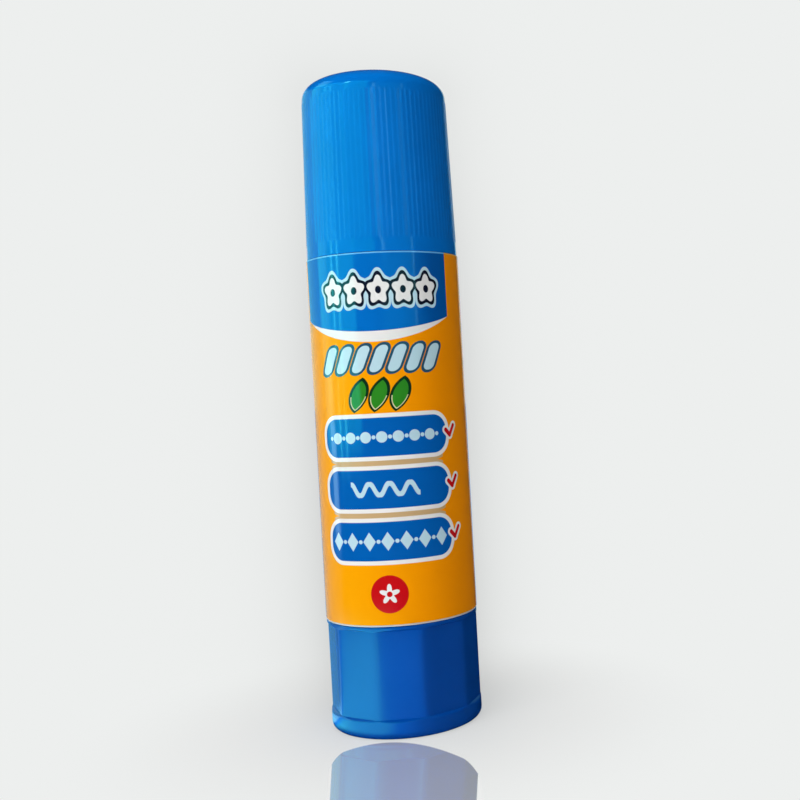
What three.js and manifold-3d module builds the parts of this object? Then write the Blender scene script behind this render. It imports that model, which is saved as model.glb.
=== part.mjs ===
// A twist-up glue stick: a white barrel with a printed film label, a ribbed push-on cap,
// a ten-sided knob with a long screw pressed into it, and a threaded carrier that lifts the glue.
// Millimetres, +Z up, the axis on Z, and Z = 0 on the face that the knob stands on.
// Angles round the stick start at the front, -Y, and grow towards +X.

import * as THREE from 'three';
import { mergeVertices } from 'three/addons/utils/BufferGeometryUtils.js';
import Module from 'manifold-3d';

const wasm = await Module();
wasm.setup();

// Outside of the stick
const STICK_RADIUS = 10.0;
const LABEL_FILM = 0.12;
const LABEL_BOND = 0.05;
const LABEL_MARGIN = 0.08;

// Barrel
const BARREL_BOTTOM = 14.7;
const BARREL_LENGTH = 47.4;
const BARREL_WALL = 2.03;
const FLOOR_HEIGHT = 1.3;
const FLOOR_THICKNESS = 1.2;
const SPIGOT_LENGTH = 8.2;
const SPIGOT_STEP = 1.43;
const SPIGOT_WALL = 1.0;
const NECK_LENGTH = 8.4;
const NECK_WALL = 0.8;
const MOUTH_CHAMFER = 0.3;
const SNAP_HEIGHT = 0.15;
const SNAP_HALF_WIDTH = 0.6;
const NECK_SNAP_RISE = 2.9;
const SPIGOT_SNAP_RISE = 1.6;

// Straight grooves down the bore, which keep the carrier from turning
const GROOVES = 4;
const GROOVE_WIDTH = 1.6;
const GROOVE_DEPTH = 0.5;
const GROOVE_STOP = 4.5;

// Cap
const CAP_LENGTH = 24.6;
const CAP_RIM_STEP = 0.14;
const CAP_DRAFT = 1.2;
const CAP_WALL = 1.0;
const CAP_EDGE = 0.15;
const CAP_LEAD_IN = 0.3;
const CAP_LEDGE = 0.25;
const CAP_DOME_RISE = 3.68;
const CAP_DOME_POWER = 2.23;

// Fine upright grip ribs round the cap
const RIBS = 90;
const RIB_DEPTH = 0.2;
const RIB_GAP_SHARE = 0.7;
const RIB_BAND = 1.75;
const RIB_RELIEF = 0.11;

// Knob
const KNOB_RIM_STEP = 0.03;
const KNOB_FILLET = 0.95;
const KNOB_FLOOR = 1.2;
const FOOT_RECESS = 0.4;
const FOOT_RING_WIDTH = 1.8;
const FACETS = 10;
const FACET_EDGE_ANGLE = 14;
const FACET_CUT = 0.42;
const FACET_BOTTOM = 2.6;
const FACET_TOP_LAND = 0.5;
const FACET_SLOPE = 0.3;
const HUB_WALL = 1.2;
const WEBS = 6;
const WEB_THICKNESS = 0.8;
const WEB_HEIGHT = 3.6;

// Screw, with a left-hand thread that lifts the carrier as the knob turns to the right
const THREAD_LEAD = 4.0;
const CORE_RADIUS = 1.9;
const THREAD_DEPTH = 1.0;
const RIDGE_ROOT = 1.7;
const RIDGE_CREST = 1.0;
const FLANGE_LAP = 1.8;
const FLANGE_THICKNESS = 1.2;
const JOURNAL_SHOULDER = 0.14;
const TAIL_SIDE = 3.2;
const TAIL_LENGTH = 12.0;
const SCREW_LENGTH = 46.0;
const SCREW_TIP = 1.0;

// Carrier and glue
const CARRIER_HEIGHT = 7.0;
const CARRIER_FLOOR = 1.2;
const CARRIER_WALL = 0.7;
const BOSS_WALL = 1.3;
const GLUE_BELOW_MOUTH = 0.5;
const GLUE_CHAMFER = 0.9;

// Clearances between pieces
const SEAT_GAP = 0.25;
const KNOB_GAP = 0.25;
const CAP_FIT = 0.12;
const SNAP_FIT = 0.15;
const BORE_FIT = 0.25;
const GLUE_FIT = 0.55;
const JOURNAL_FIT = 0.3;
const SOCKET_FIT = 0.12;
const THREAD_FIT = 0.2;
const TIP_GAP = 0.5;

// Facets of the round shapes
const ROUND = 48;
const SMALL_ROUND = 18;
const THREAD_STEPS = 12;
const FILLET_STEPS = 4;
const DOME_STEPS = 8;
const OVERRUN = 1.0;

// Radii and heights that follow from the sizes above
const barrelRadius = STICK_RADIUS - LABEL_FILM - LABEL_BOND;
const barrelTop = BARREL_BOTTOM + BARREL_LENGTH;
const boreRadius = barrelRadius - BARREL_WALL;
const floorBottom = BARREL_BOTTOM + FLOOR_HEIGHT;
const floorTop = floorBottom + FLOOR_THICKNESS;
const spigotRadius = barrelRadius - SPIGOT_STEP;
const spigotBottom = BARREL_BOTTOM - SPIGOT_LENGTH;
const neckRadius = boreRadius + NECK_WALL;
const mouth = barrelTop + NECK_LENGTH;
const journalRadius = TAIL_SIDE / Math.SQRT2 + JOURNAL_SHOULDER;
const journalHole = journalRadius + JOURNAL_FIT;

const capBottom = barrelTop + SEAT_GAP;
const capTop = capBottom + CAP_LENGTH;
const capRadius = STICK_RADIUS - CAP_RIM_STEP;
const capBore = neckRadius + SNAP_HEIGHT + CAP_FIT;
const capLedge = mouth + SEAT_GAP;
const capShoulder = capTop - CAP_DOME_RISE;
const capSlope = Math.tan(THREE.MathUtils.degToRad(CAP_DRAFT));
const capRadiusAt = (z) => capRadius - capSlope * (z - capBottom);

const knobTop = BARREL_BOTTOM - KNOB_GAP;
const knobRadius = STICK_RADIUS - KNOB_RIM_STEP;
const knobBore = spigotRadius + BORE_FIT;
const knobFloorTop = FOOT_RECESS + KNOB_FLOOR;
const hubTop = floorBottom - SEAT_GAP;
const hubRadius = journalRadius + HUB_WALL;

const flangeBottom = floorTop + SEAT_GAP;
const flangeTop = flangeBottom + FLANGE_THICKNESS;
const screwTop = flangeTop + SCREW_LENGTH;
const crestRadius = CORE_RADIUS + THREAD_DEPTH;
const tailBottom = hubTop - TAIL_LENGTH;

const carrierBottom = flangeTop + SEAT_GAP;
const carrierTop = carrierBottom + CARRIER_HEIGHT;
const carrierRadius = boreRadius - BORE_FIT;
const cupRadius = carrierRadius - CARRIER_WALL;
const cupFloor = carrierBottom + CARRIER_FLOOR;
const bossRadius = crestRadius + THREAD_FIT + BOSS_WALL;

const glueTop = mouth - GLUE_BELOW_MOUTH;
const glueRadius = boreRadius - GLUE_FIT;
const glueBore = crestRadius + JOURNAL_FIT;

const white = new THREE.Color(0xe9ebea);
const blue = new THREE.Color(0x0a6fc4);
const orange = new THREE.Color(0xf79a12);
const cream = new THREE.Color(0xf1ece0);

const plastic = (color, roughness) => new THREE.MeshStandardMaterial({ color, roughness, metalness: 0 });

// Closed mesh of a geometry: shared vertices merged, and the flat triangles at a pole dropped
function closedMesh(geometry) {
  geometry.deleteAttribute('normal');
  geometry.deleteAttribute('uv');
  const merged = mergeVertices(geometry);
  const corners = merged.index.array;
  const kept = [];
  for (let i = 0; i < corners.length; i += 3) {
    const [a, b, c] = [corners[i], corners[i + 1], corners[i + 2]];
    if (a !== b && b !== c && c !== a) kept.push(a, b, c);
  }
  merged.setIndex(kept);
  return merged;
}

function solid(geometry) {
  const merged = closedMesh(geometry);
  return new wasm.Manifold(new wasm.Mesh({
    numProp: 3,
    vertProperties: new Float32Array(merged.attributes.position.array),
    triVerts: new Uint32Array(merged.index.array),
  }));
}

function toGeometry(manifold) {
  const mesh = manifold.getMesh();
  const geometry = new THREE.BufferGeometry();
  geometry.setAttribute('position', new THREE.BufferAttribute(new Float32Array(mesh.vertProperties), 3));
  geometry.setIndex(new THREE.BufferAttribute(new Uint32Array(mesh.triVerts), 1));
  geometry.computeVertexNormals();
  return geometry;
}

// A profile of [radius, height] points turned round the stick's axis
function turned(profile, segments = ROUND) {
  const points = profile.map(([radius, height]) => new THREE.Vector2(radius, height));
  return solid(new THREE.LatheGeometry(points, segments).rotateX(Math.PI / 2));
}

// Points of a round edge of one radius, from one angle to another, level being 0
function roundEdge(centreRadius, centreHeight, radius, fromDegrees, toDegrees) {
  return Array.from({ length: FILLET_STEPS + 1 }, (_, i) => {
    const angle = THREE.MathUtils.degToRad(fromDegrees + (toDegrees - fromDegrees) * i / FILLET_STEPS);
    return [centreRadius + radius * Math.cos(angle), centreHeight + radius * Math.sin(angle)];
  });
}

// A dome from its foot up to the axis, with a superellipse as its outline
function dome(radius, foot, rise) {
  const share = (value) => Math.abs(value) ** (2 / CAP_DOME_POWER);
  return Array.from({ length: DOME_STEPS + 1 }, (_, i) => {
    const angle = Math.PI / 2 * i / DOME_STEPS;
    return [radius * share(Math.cos(angle)), foot + rise * share(Math.sin(angle))];
  });
}

// A block whose middle lies at a radius in front of the axis, turned to an angle round it
function blockAt(angle, radius, tangential, radial, bottom, top) {
  const block = new THREE.BoxGeometry(tangential, radial, top - bottom);
  block.translate(0, -radius, (bottom + top) / 2);
  return solid(block.rotateZ(angle));
}

function aroundAxis(count, firstAngle, make) {
  return Array.from({ length: count }, (_, i) => make(firstAngle + 2 * Math.PI * i / count));
}

const subtractAll = (body, cutters) => cutters.reduce((rest, cutter) => rest.subtract(cutter), body);
const addAll = (body, additions) => additions.reduce((whole, addition) => whole.add(addition), body);

// A left-hand thread ridge: a bar of trapezoid section wrapped round the axis, one turn per lead
function threadRidge(bottom, top, inner, outer, rootWidth, crestWidth) {
  const section = new THREE.Shape([
    new THREE.Vector2(inner, -rootWidth / 2),
    new THREE.Vector2(outer, -crestWidth / 2),
    new THREE.Vector2(outer, crestWidth / 2),
    new THREE.Vector2(inner, rootWidth / 2),
  ]);
  const rise = top - bottom;
  const steps = Math.ceil(rise / THREAD_LEAD * THREAD_STEPS);
  const bar = new THREE.ExtrudeGeometry(section, { depth: rise, steps, bevelEnabled: false });
  const place = bar.attributes.position;
  for (let i = 0; i < place.count; i += 1) {
    const height = bottom + place.getZ(i);
    const angle = -2 * Math.PI * height / THREAD_LEAD;
    const radius = place.getX(i);
    place.setXYZ(i, radius * Math.sin(angle), -radius * Math.cos(angle), height + place.getY(i));
  }
  return solid(bar);
}

function barrel() {
  const neckSnap = barrelTop + NECK_SNAP_RISE;
  const spigotSnap = spigotBottom + SPIGOT_SNAP_RISE;
  const body = turned([
    [spigotRadius - SPIGOT_WALL, spigotBottom],
    [spigotRadius - MOUTH_CHAMFER, spigotBottom],
    [spigotRadius, spigotBottom + MOUTH_CHAMFER],
    [spigotRadius, spigotSnap - SNAP_HALF_WIDTH],
    [spigotRadius + SNAP_HEIGHT + SNAP_FIT, spigotSnap],
    [spigotRadius, spigotSnap + SNAP_HALF_WIDTH],
    [spigotRadius, BARREL_BOTTOM],
    [barrelRadius, BARREL_BOTTOM],
    [barrelRadius, barrelTop],
    [neckRadius, barrelTop],
    [neckRadius, neckSnap - SNAP_HALF_WIDTH],
    [neckRadius + SNAP_HEIGHT, neckSnap],
    [neckRadius, neckSnap + SNAP_HALF_WIDTH],
    [neckRadius, mouth - MOUTH_CHAMFER],
    [neckRadius - MOUTH_CHAMFER, mouth],
    [boreRadius, mouth],
    [boreRadius, floorTop],
    [journalHole, floorTop],
    [journalHole, floorBottom],
    [spigotRadius - SPIGOT_WALL, floorBottom],
    [spigotRadius - SPIGOT_WALL, spigotBottom],
  ]);
  const grooves = aroundAxis(GROOVES, 0, (angle) => blockAt(
    angle, boreRadius, GROOVE_WIDTH, 2 * GROOVE_DEPTH, floorTop + SEAT_GAP, mouth - GROOVE_STOP,
  ));
  return subtractAll(body, grooves);
}

function labelSleeve() {
  const bottom = BARREL_BOTTOM + LABEL_MARGIN;
  const top = barrelTop - LABEL_MARGIN;
  const inner = STICK_RADIUS - LABEL_FILM;
  return turned([
    [inner, bottom],
    [STICK_RADIUS, bottom],
    [STICK_RADIUS, top],
    [inner, top],
    [inner, bottom],
  ]);
}

// One gap between two cap ribs: a wedge that leans in with the cap's draft
function ribGap(angle) {
  const bottom = capBottom + RIB_BAND;
  const halfGap = RIB_GAP_SHARE * Math.PI * capRadius / RIBS;
  const wedge = new THREE.Shape([
    new THREE.Vector2(0, RIB_DEPTH),
    new THREE.Vector2(-2 * halfGap, -RIB_DEPTH),
    new THREE.Vector2(2 * halfGap, -RIB_DEPTH),
  ]);
  const bar = new THREE.ExtrudeGeometry(wedge, { depth: capShoulder - bottom, bevelEnabled: false });
  bar.rotateX(-Math.atan(capSlope));
  bar.translate(0, -capRadiusAt(bottom), bottom);
  return solid(bar.rotateZ(angle));
}

function cap() {
  const domeRadius = capRadiusAt(capShoulder) - RIB_RELIEF;
  const outside = turned([
    [0, capBottom],
    [capRadius - CAP_EDGE, capBottom],
    [capRadius, capBottom + CAP_EDGE],
    [capRadiusAt(capShoulder - RIB_RELIEF), capShoulder - RIB_RELIEF],
    ...dome(domeRadius, capShoulder, CAP_DOME_RISE),
  ], RIBS);
  const hollow = turned([
    [0, capBottom - OVERRUN],
    [capBore + CAP_LEAD_IN, capBottom - OVERRUN],
    [capBore + CAP_LEAD_IN, capBottom],
    [capBore, capBottom + CAP_LEAD_IN],
    [capBore, capLedge],
    [capBore - CAP_LEDGE, capLedge],
    ...dome(domeRadius - CAP_WALL, capShoulder, CAP_DOME_RISE - CAP_WALL),
  ]);
  const halfRib = Math.PI / RIBS;
  return subtractAll(outside.subtract(hollow), aroundAxis(RIBS, halfRib, ribGap));
}

// One flat of the knob: a bar across the front with sloped ends, turned to its angle
function facetCut(angle) {
  const flat = knobRadius - FACET_CUT;
  const far = knobRadius + OVERRUN;
  const top = knobTop - FACET_TOP_LAND;
  const halfWidth = far * Math.tan(Math.PI / FACETS);
  const rise = FACET_SLOPE * (far - flat) / FACET_CUT;
  const section = new THREE.Shape([
    new THREE.Vector2(flat, FACET_BOTTOM + FACET_SLOPE),
    new THREE.Vector2(far, FACET_BOTTOM + FACET_SLOPE - rise),
    new THREE.Vector2(far, top - FACET_SLOPE + rise),
    new THREE.Vector2(flat, top - FACET_SLOPE),
  ]);
  const bar = new THREE.ExtrudeGeometry(section, { depth: 2 * halfWidth, bevelEnabled: false });
  bar.translate(0, 0, -halfWidth);
  bar.rotateX(Math.PI / 2);
  return solid(bar.rotateZ(angle - Math.PI / 2));
}

function knob() {
  const footOuter = knobRadius - KNOB_FILLET;
  const footInner = footOuter - FOOT_RING_WIDTH;
  const snap = spigotBottom + SPIGOT_SNAP_RISE;
  const snapGroove = SNAP_HALF_WIDTH + SNAP_FIT;
  const body = turned([
    [0, FOOT_RECESS],
    [footInner - FOOT_RECESS, FOOT_RECESS],
    [footInner, 0],
    ...roundEdge(footOuter, KNOB_FILLET, KNOB_FILLET, -90, 0),
    [knobRadius, knobTop],
    [hubRadius, knobTop],
    [hubRadius, hubTop],
    [0, hubTop],
  ]);
  const hollow = turned([
    [hubRadius, knobFloorTop],
    [knobBore, knobFloorTop],
    [knobBore, snap - snapGroove],
    [knobBore + SNAP_HEIGHT + SNAP_FIT, snap],
    [knobBore, snap + snapGroove],
    [knobBore, knobTop + OVERRUN],
    [hubRadius, knobTop + OVERRUN],
    [hubRadius, knobFloorTop],
  ]);
  const socketSide = TAIL_SIDE + 2 * SOCKET_FIT;
  const socket = blockAt(0, 0, socketSide, socketSide, tailBottom - SEAT_GAP, hubTop + OVERRUN);
  const webRadius = (hubRadius + knobBore) / 2;
  const webs = aroundAxis(WEBS, 0, (angle) => blockAt(
    angle, webRadius, WEB_THICKNESS, knobBore - hubRadius + HUB_WALL,
    knobFloorTop - KNOB_FLOOR / 2, knobFloorTop + WEB_HEIGHT,
  ));
  const firstFacet = THREE.MathUtils.degToRad(FACET_EDGE_ANGLE) + Math.PI / FACETS;
  const facets = aroundAxis(FACETS, firstFacet, facetCut);
  return subtractAll(addAll(body.subtract(hollow), webs).subtract(socket), facets);
}

function screw() {
  const shaft = turned([
    [0, hubTop + SEAT_GAP],
    [journalRadius, hubTop + SEAT_GAP],
    [journalRadius, flangeBottom],
    [journalHole + FLANGE_LAP, flangeBottom],
    [journalHole + FLANGE_LAP, flangeTop],
    [CORE_RADIUS, flangeTop],
    [CORE_RADIUS, screwTop - SCREW_TIP],
    [CORE_RADIUS - SCREW_TIP, screwTop],
    [0, screwTop],
  ], SMALL_ROUND);
  const tail = blockAt(0, 0, TAIL_SIDE, TAIL_SIDE, tailBottom, flangeBottom);
  const ridge = threadRidge(
    flangeTop, screwTop - SCREW_TIP - RIDGE_ROOT / 2, CORE_RADIUS - THREAD_DEPTH / 2, crestRadius,
    RIDGE_ROOT + (RIDGE_ROOT - RIDGE_CREST) / 2, RIDGE_CREST,
  );
  return addAll(shaft, [tail, ridge]);
}

function carrier() {
  const cup = turned([
    [0, carrierBottom],
    [carrierRadius, carrierBottom],
    [carrierRadius, carrierTop],
    [cupRadius, carrierTop],
    [cupRadius, cupFloor],
    [bossRadius, cupFloor],
    [bossRadius, carrierTop],
    [0, carrierTop],
  ]);
  const tabReach = boreRadius + GROOVE_DEPTH - BORE_FIT;
  const tabs = aroundAxis(GROOVES, 0, (angle) => blockAt(
    angle, (cupRadius + tabReach) / 2 + CARRIER_WALL / 4, GROOVE_WIDTH - 2 * BORE_FIT,
    tabReach - cupRadius - CARRIER_WALL / 2, carrierBottom, carrierTop,
  ));
  const bore = turned([
    [0, carrierBottom - OVERRUN],
    [CORE_RADIUS + THREAD_FIT, carrierBottom - OVERRUN],
    [CORE_RADIUS + THREAD_FIT, carrierTop + OVERRUN],
    [0, carrierTop + OVERRUN],
  ], SMALL_ROUND);
  const groove = threadRidge(
    carrierBottom - THREAD_LEAD / 2, carrierTop + THREAD_LEAD / 2, CORE_RADIUS - THREAD_DEPTH / 2,
    crestRadius + THREAD_FIT, RIDGE_ROOT + (RIDGE_ROOT - RIDGE_CREST) / 2 + 2 * THREAD_FIT,
    RIDGE_CREST + 2 * THREAD_FIT,
  );
  return subtractAll(addAll(cup, tabs), [bore, groove]);
}

function glue() {
  const plugRadius = cupRadius - SEAT_GAP;
  const collar = carrierTop + SEAT_GAP;
  return turned([
    [0, screwTop + TIP_GAP],
    [glueBore, screwTop + TIP_GAP],
    [glueBore, collar],
    [bossRadius + SEAT_GAP, collar],
    [bossRadius + SEAT_GAP, cupFloor + SEAT_GAP],
    [plugRadius, cupFloor + SEAT_GAP],
    [plugRadius, collar],
    [glueRadius, collar],
    [glueRadius, glueTop - GLUE_CHAMFER],
    [glueRadius - GLUE_CHAMFER, glueTop],
    [0, glueTop],
  ]);
}

const glueStick = new THREE.Group();

function addPiece(name, manifold, material) {
  const mesh = new THREE.Mesh(toGeometry(manifold), material);
  mesh.name = name;
  glueStick.add(mesh);
}

addPiece('barrel', barrel(), plastic(white, 0.35));
addPiece('label_sleeve', labelSleeve(), plastic(orange, 0.25));
addPiece('knob', knob(), plastic(blue, 0.3));
addPiece('screw', screw(), plastic(white, 0.45));
addPiece('carrier', carrier(), plastic(white, 0.45));
addPiece('glue', glue(), plastic(cream, 0.5));
addPiece('cap', cap(), plastic(blue, 0.3));

export default glueStick;
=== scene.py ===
"""A twist-up glue stick: smooth pieces, printed label, moulded plastics, studio and camera.

Lengths are in millimetres and become metres when a mesh, a lamp or the camera is placed.
Angles round the stick start at its front, -Y, and grow towards +X.
"""

import logging
import math
from collections.abc import Mapping, Sequence
from dataclasses import dataclass, field
from enum import Enum
from typing import Any

import bpy
import numpy as np
from mathutils import Matrix, Vector


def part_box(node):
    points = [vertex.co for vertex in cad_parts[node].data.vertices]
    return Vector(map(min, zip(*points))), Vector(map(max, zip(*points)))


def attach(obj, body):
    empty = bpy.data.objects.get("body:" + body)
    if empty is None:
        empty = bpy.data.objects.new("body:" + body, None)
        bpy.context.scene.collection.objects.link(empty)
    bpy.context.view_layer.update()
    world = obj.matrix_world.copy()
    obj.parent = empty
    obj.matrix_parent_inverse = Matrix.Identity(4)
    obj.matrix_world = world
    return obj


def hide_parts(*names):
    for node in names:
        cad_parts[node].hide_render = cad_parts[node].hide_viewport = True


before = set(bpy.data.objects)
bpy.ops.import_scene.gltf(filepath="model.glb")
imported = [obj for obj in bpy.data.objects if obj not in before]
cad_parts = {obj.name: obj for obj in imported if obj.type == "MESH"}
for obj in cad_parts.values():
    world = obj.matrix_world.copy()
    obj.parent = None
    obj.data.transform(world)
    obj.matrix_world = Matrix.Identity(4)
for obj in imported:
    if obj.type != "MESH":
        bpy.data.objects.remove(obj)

LOG = logging.getLogger("glue_stick")
MM = 0.001
PICTURE_PIXELS = 800

# The print's map: its name, and the millimetres of height that 1 stands for.
PRINT_MAP = "print"
PRINT_SCALE = 100.0

# Radii and heights that are less than this apart count as the same.
NEAR = 0.02

# A fillet may take this much of a stretch. Its support point lies at this much of the fillet's size, or of
# the stretch that is left if that is less.
FILLET_ROOM = 0.49
SUPPORT = 0.5
SUPPORT_ROOM = 0.3

Numbers = tuple[float, ...]
Colour = tuple[float, float, float, float]

# The paper's colour in linear light.
PAPER = (0.847, 0.863, 0.855)


class Ink(Enum):
    """Colours of the plastics and of the print, and of the label's painted shade and painted highlight, as
    sRGB codes.
    """

    CAP_BLUE = "0072d0"
    KNOB_BLUE = "0049a4"
    PANEL_BLUE = "006cc6"
    # Painted shade: the deeper panel blue toward the right side.
    PANEL_SHADE_BLUE = "0056a8"
    TABLET_BLUE = "005fb6"
    NAVY = "10142c"
    SLATE = "24506c"
    PALE_BLUE = "bfe0ec"
    ORANGE = "fda804"
    # The ground's painted shade toward the right side, and the seam line.
    DEEP_ORANGE = "fc9602"
    WHITE = "f0f0ee"
    CREAM = "d8d6a8"
    TAN = "ccac7c"
    # Painted highlight along the label's top edge, over the orange and over the panel.
    PAINTED_GLINT_AMBER = "f0b454"
    PAINTED_GLINT_SKY = "6cbcf2"
    RED = "cc0c12"
    GREEN = "2f8a22"
    DARK_GREEN = "0c3218"
    MOULDED_WHITE = "d6d8d8"
    GLUE_CREAM = "e4dfd2"
    FLOOR_GREY = "e8e8e8"

    @property
    def linear(self) -> Colour:
        """The colour in linear light, with full alpha.

        A low share is divided by a number, and a higher one is scaled and raised to a power.

        Returns:
            Red, green, blue and alpha.
        """
        shares = [int(self.value[i:i + 2], 16) / 255 for i in (0, 2, 4)]
        low = [share / 12.92 for share in shares]
        high = [((share + 0.055) / 1.055) ** 2.4 for share in shares]
        red, green, blue = (a if s <= 0.04045 else b for s, a, b in zip(shares, low, high))
        return red, green, blue, 1.0


class Wire:
    """An output socket of a shader node, on which arithmetic adds Math nodes."""

    def __init__(self, sheet: "Sheet", socket: bpy.types.NodeSocket) -> None:
        """Keeps the socket and the sheet of nodes that it belongs to."""
        self.sheet = sheet
        self.socket = socket

    def math(self, operation: str, *values: "Wire | float") -> "Wire":
        """Adds a Math node.

        Args:
            operation: The node's operation.
            values: What goes into its sockets, in order.

        Returns:
            The node's result.
        """
        inputs = dict(enumerate(values))
        return self.sheet.wire("ShaderNodeMath", {"operation": operation}, inputs)

    def __add__(self, other: "Wire | float") -> "Wire":
        """Sum."""
        return self.math("ADD", self, other)

    def __radd__(self, other: float) -> "Wire":
        """Sum, with the number first."""
        return self.math("ADD", other, self)

    def __sub__(self, other: "Wire | float") -> "Wire":
        """Difference."""
        return self.math("SUBTRACT", self, other)

    def __rsub__(self, other: float) -> "Wire":
        """Difference, with the number first."""
        return self.math("SUBTRACT", other, self)

    def __mul__(self, other: "Wire | float") -> "Wire":
        """Product."""
        return self.math("MULTIPLY", self, other)

    def __rmul__(self, other: float) -> "Wire":
        """Product, with the number first."""
        return self.math("MULTIPLY", other, self)

    def __truediv__(self, other: "Wire | float") -> "Wire":
        """Quotient."""
        return self.math("DIVIDE", self, other)

    def __abs__(self) -> "Wire":
        """Size without sign."""
        return self.math("ABSOLUTE", self)

    def least(self, other: "Wire | float") -> "Wire":
        """The smaller of two values."""
        return self.math("MINIMUM", self, other)

    def most(self, other: "Wire | float") -> "Wire":
        """The larger of two values."""
        return self.math("MAXIMUM", self, other)

    def between(self, low: float, high: float) -> "Wire":
        """The value held between two numbers."""
        return self.most(low).least(high)

    def share(self, start: float, end: float) -> "Wire":
        """A smooth 0 to 1 while the value goes from start to end.

        Args:
            start: Where it leaves 0.
            end: Where it reaches 1.

        Returns:
            The share: 3 times its square less 2 times its cube, of the straight share.
        """
        return self.sheet.wire(
            "ShaderNodeMapRange", {"interpolation_type": "SMOOTHSTEP"},
            {"Value": self, "From Min": start, "From Max": end},
        )


class Sheet:
    """The node tree of one material or world, with one way to add any node."""

    def __init__(self, owner: bpy.types.Material | bpy.types.World) -> None:
        """Clears the owner's nodes.

        Args:
            owner: The material or world.
        """
        owner.use_nodes = True
        self.tree = owner.node_tree
        self.tree.nodes.clear()

    def node(
        self, kind: str, settings: Mapping[str, Any] | None = None, inputs: Mapping[Any, Any] | None = None,
    ) -> bpy.types.Node:
        """Adds a node.

        Args:
            kind: The node's type.
            settings: Its properties, which are set first.
            inputs: Values, wires or nodes' sockets for its inputs, by name or number.

        Returns:
            The node.
        """
        node = self.tree.nodes.new(kind)
        for name, value in (settings or {}).items():
            setattr(node, name, value)
        for name, value in (inputs or {}).items():
            socket = value.socket if isinstance(value, Wire) else value
            if isinstance(socket, bpy.types.NodeSocket):
                self.tree.links.new(socket, node.inputs[name])
            else:
                node.inputs[name].default_value = socket
        return node

    def wire(
        self, kind: str, settings: Mapping[str, Any] | None = None, inputs: Mapping[Any, Any] | None = None,
        output: str | int = 0,
    ) -> Wire:
        """Adds a node and returns one of its outputs as a wire."""
        return Wire(self, self.node(kind, settings, inputs).outputs[output])

    def mix(self, share: Wire | float, first: Any, second: Any) -> Wire:
        """A colour that goes from the first to the second with the share."""
        inputs = {"Factor": share, 6: first, 7: second}
        return self.wire("ShaderNodeMix", {"data_type": "RGBA"}, inputs, 2)

    def millimetres(self) -> Wire:
        """The surface point in millimetres, from Object coordinates."""
        place = self.wire("ShaderNodeTexCoord", output="Object")
        return self.vector("SCALE", {0: place, "Scale": 1 / MM})

    def noise(self, place: Wire, size: float, detail: float = 2.0) -> Wire:
        """Noise from 0 to 1 whose blots are about a size in millimetres."""
        inputs = {"Vector": place, "Scale": 1 / size, "Detail": detail}
        return self.wire("ShaderNodeTexNoise", None, inputs)

    def bump(self, height: Wire, depth: float) -> Wire:
        """A normal from a height of 0 to 1 that stands for a depth in millimetres."""
        inputs = {"Height": height, "Strength": 1.0, "Distance": depth * MM}
        return self.wire("ShaderNodeBump", None, inputs)

    def shader(self, inputs: Mapping[str, Any]) -> Wire:
        """A Principled shader."""
        return self.wire("ShaderNodeBsdfPrincipled", None, inputs)

    def surface(self, shader: Wire) -> None:
        """Ends the sheet with what covers the surface."""
        self.node("ShaderNodeOutputMaterial", None, {"Surface": shader})

    def vector(self, operation: str, inputs: Mapping[Any, Any], output: str | int = 0) -> Wire:
        """The result of arithmetic on vectors."""
        return self.wire("ShaderNodeVectorMath", {"operation": operation}, inputs, output)

    def parts(self, vector: Wire) -> list[Wire]:
        """The three coordinates of a vector."""
        outputs = self.node("ShaderNodeSeparateXYZ", None, {0: vector}).outputs
        return [Wire(self, output) for output in outputs]

    def rays(self) -> tuple[Wire, Wire]:
        """1 where the surface is seen straight, and 1 where it is seen in the gloss of another."""
        outputs = self.node("ShaderNodeLightPath").outputs
        return Wire(self, outputs["Is Camera Ray"]), Wire(self, outputs["Is Glossy Ray"])

    def emission(self, colour: Any, strength: Wire) -> Wire:
        """A shader that gives light of its own."""
        return self.wire("ShaderNodeEmission", None, {"Color": colour, "Strength": strength})

    def blend(self, share: Wire, first: Wire, second: Wire) -> Wire:
        """A shader that goes from the first to the second with the share."""
        return self.wire("ShaderNodeMixShader", None, {0: share, 1: first, 2: second})


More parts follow.
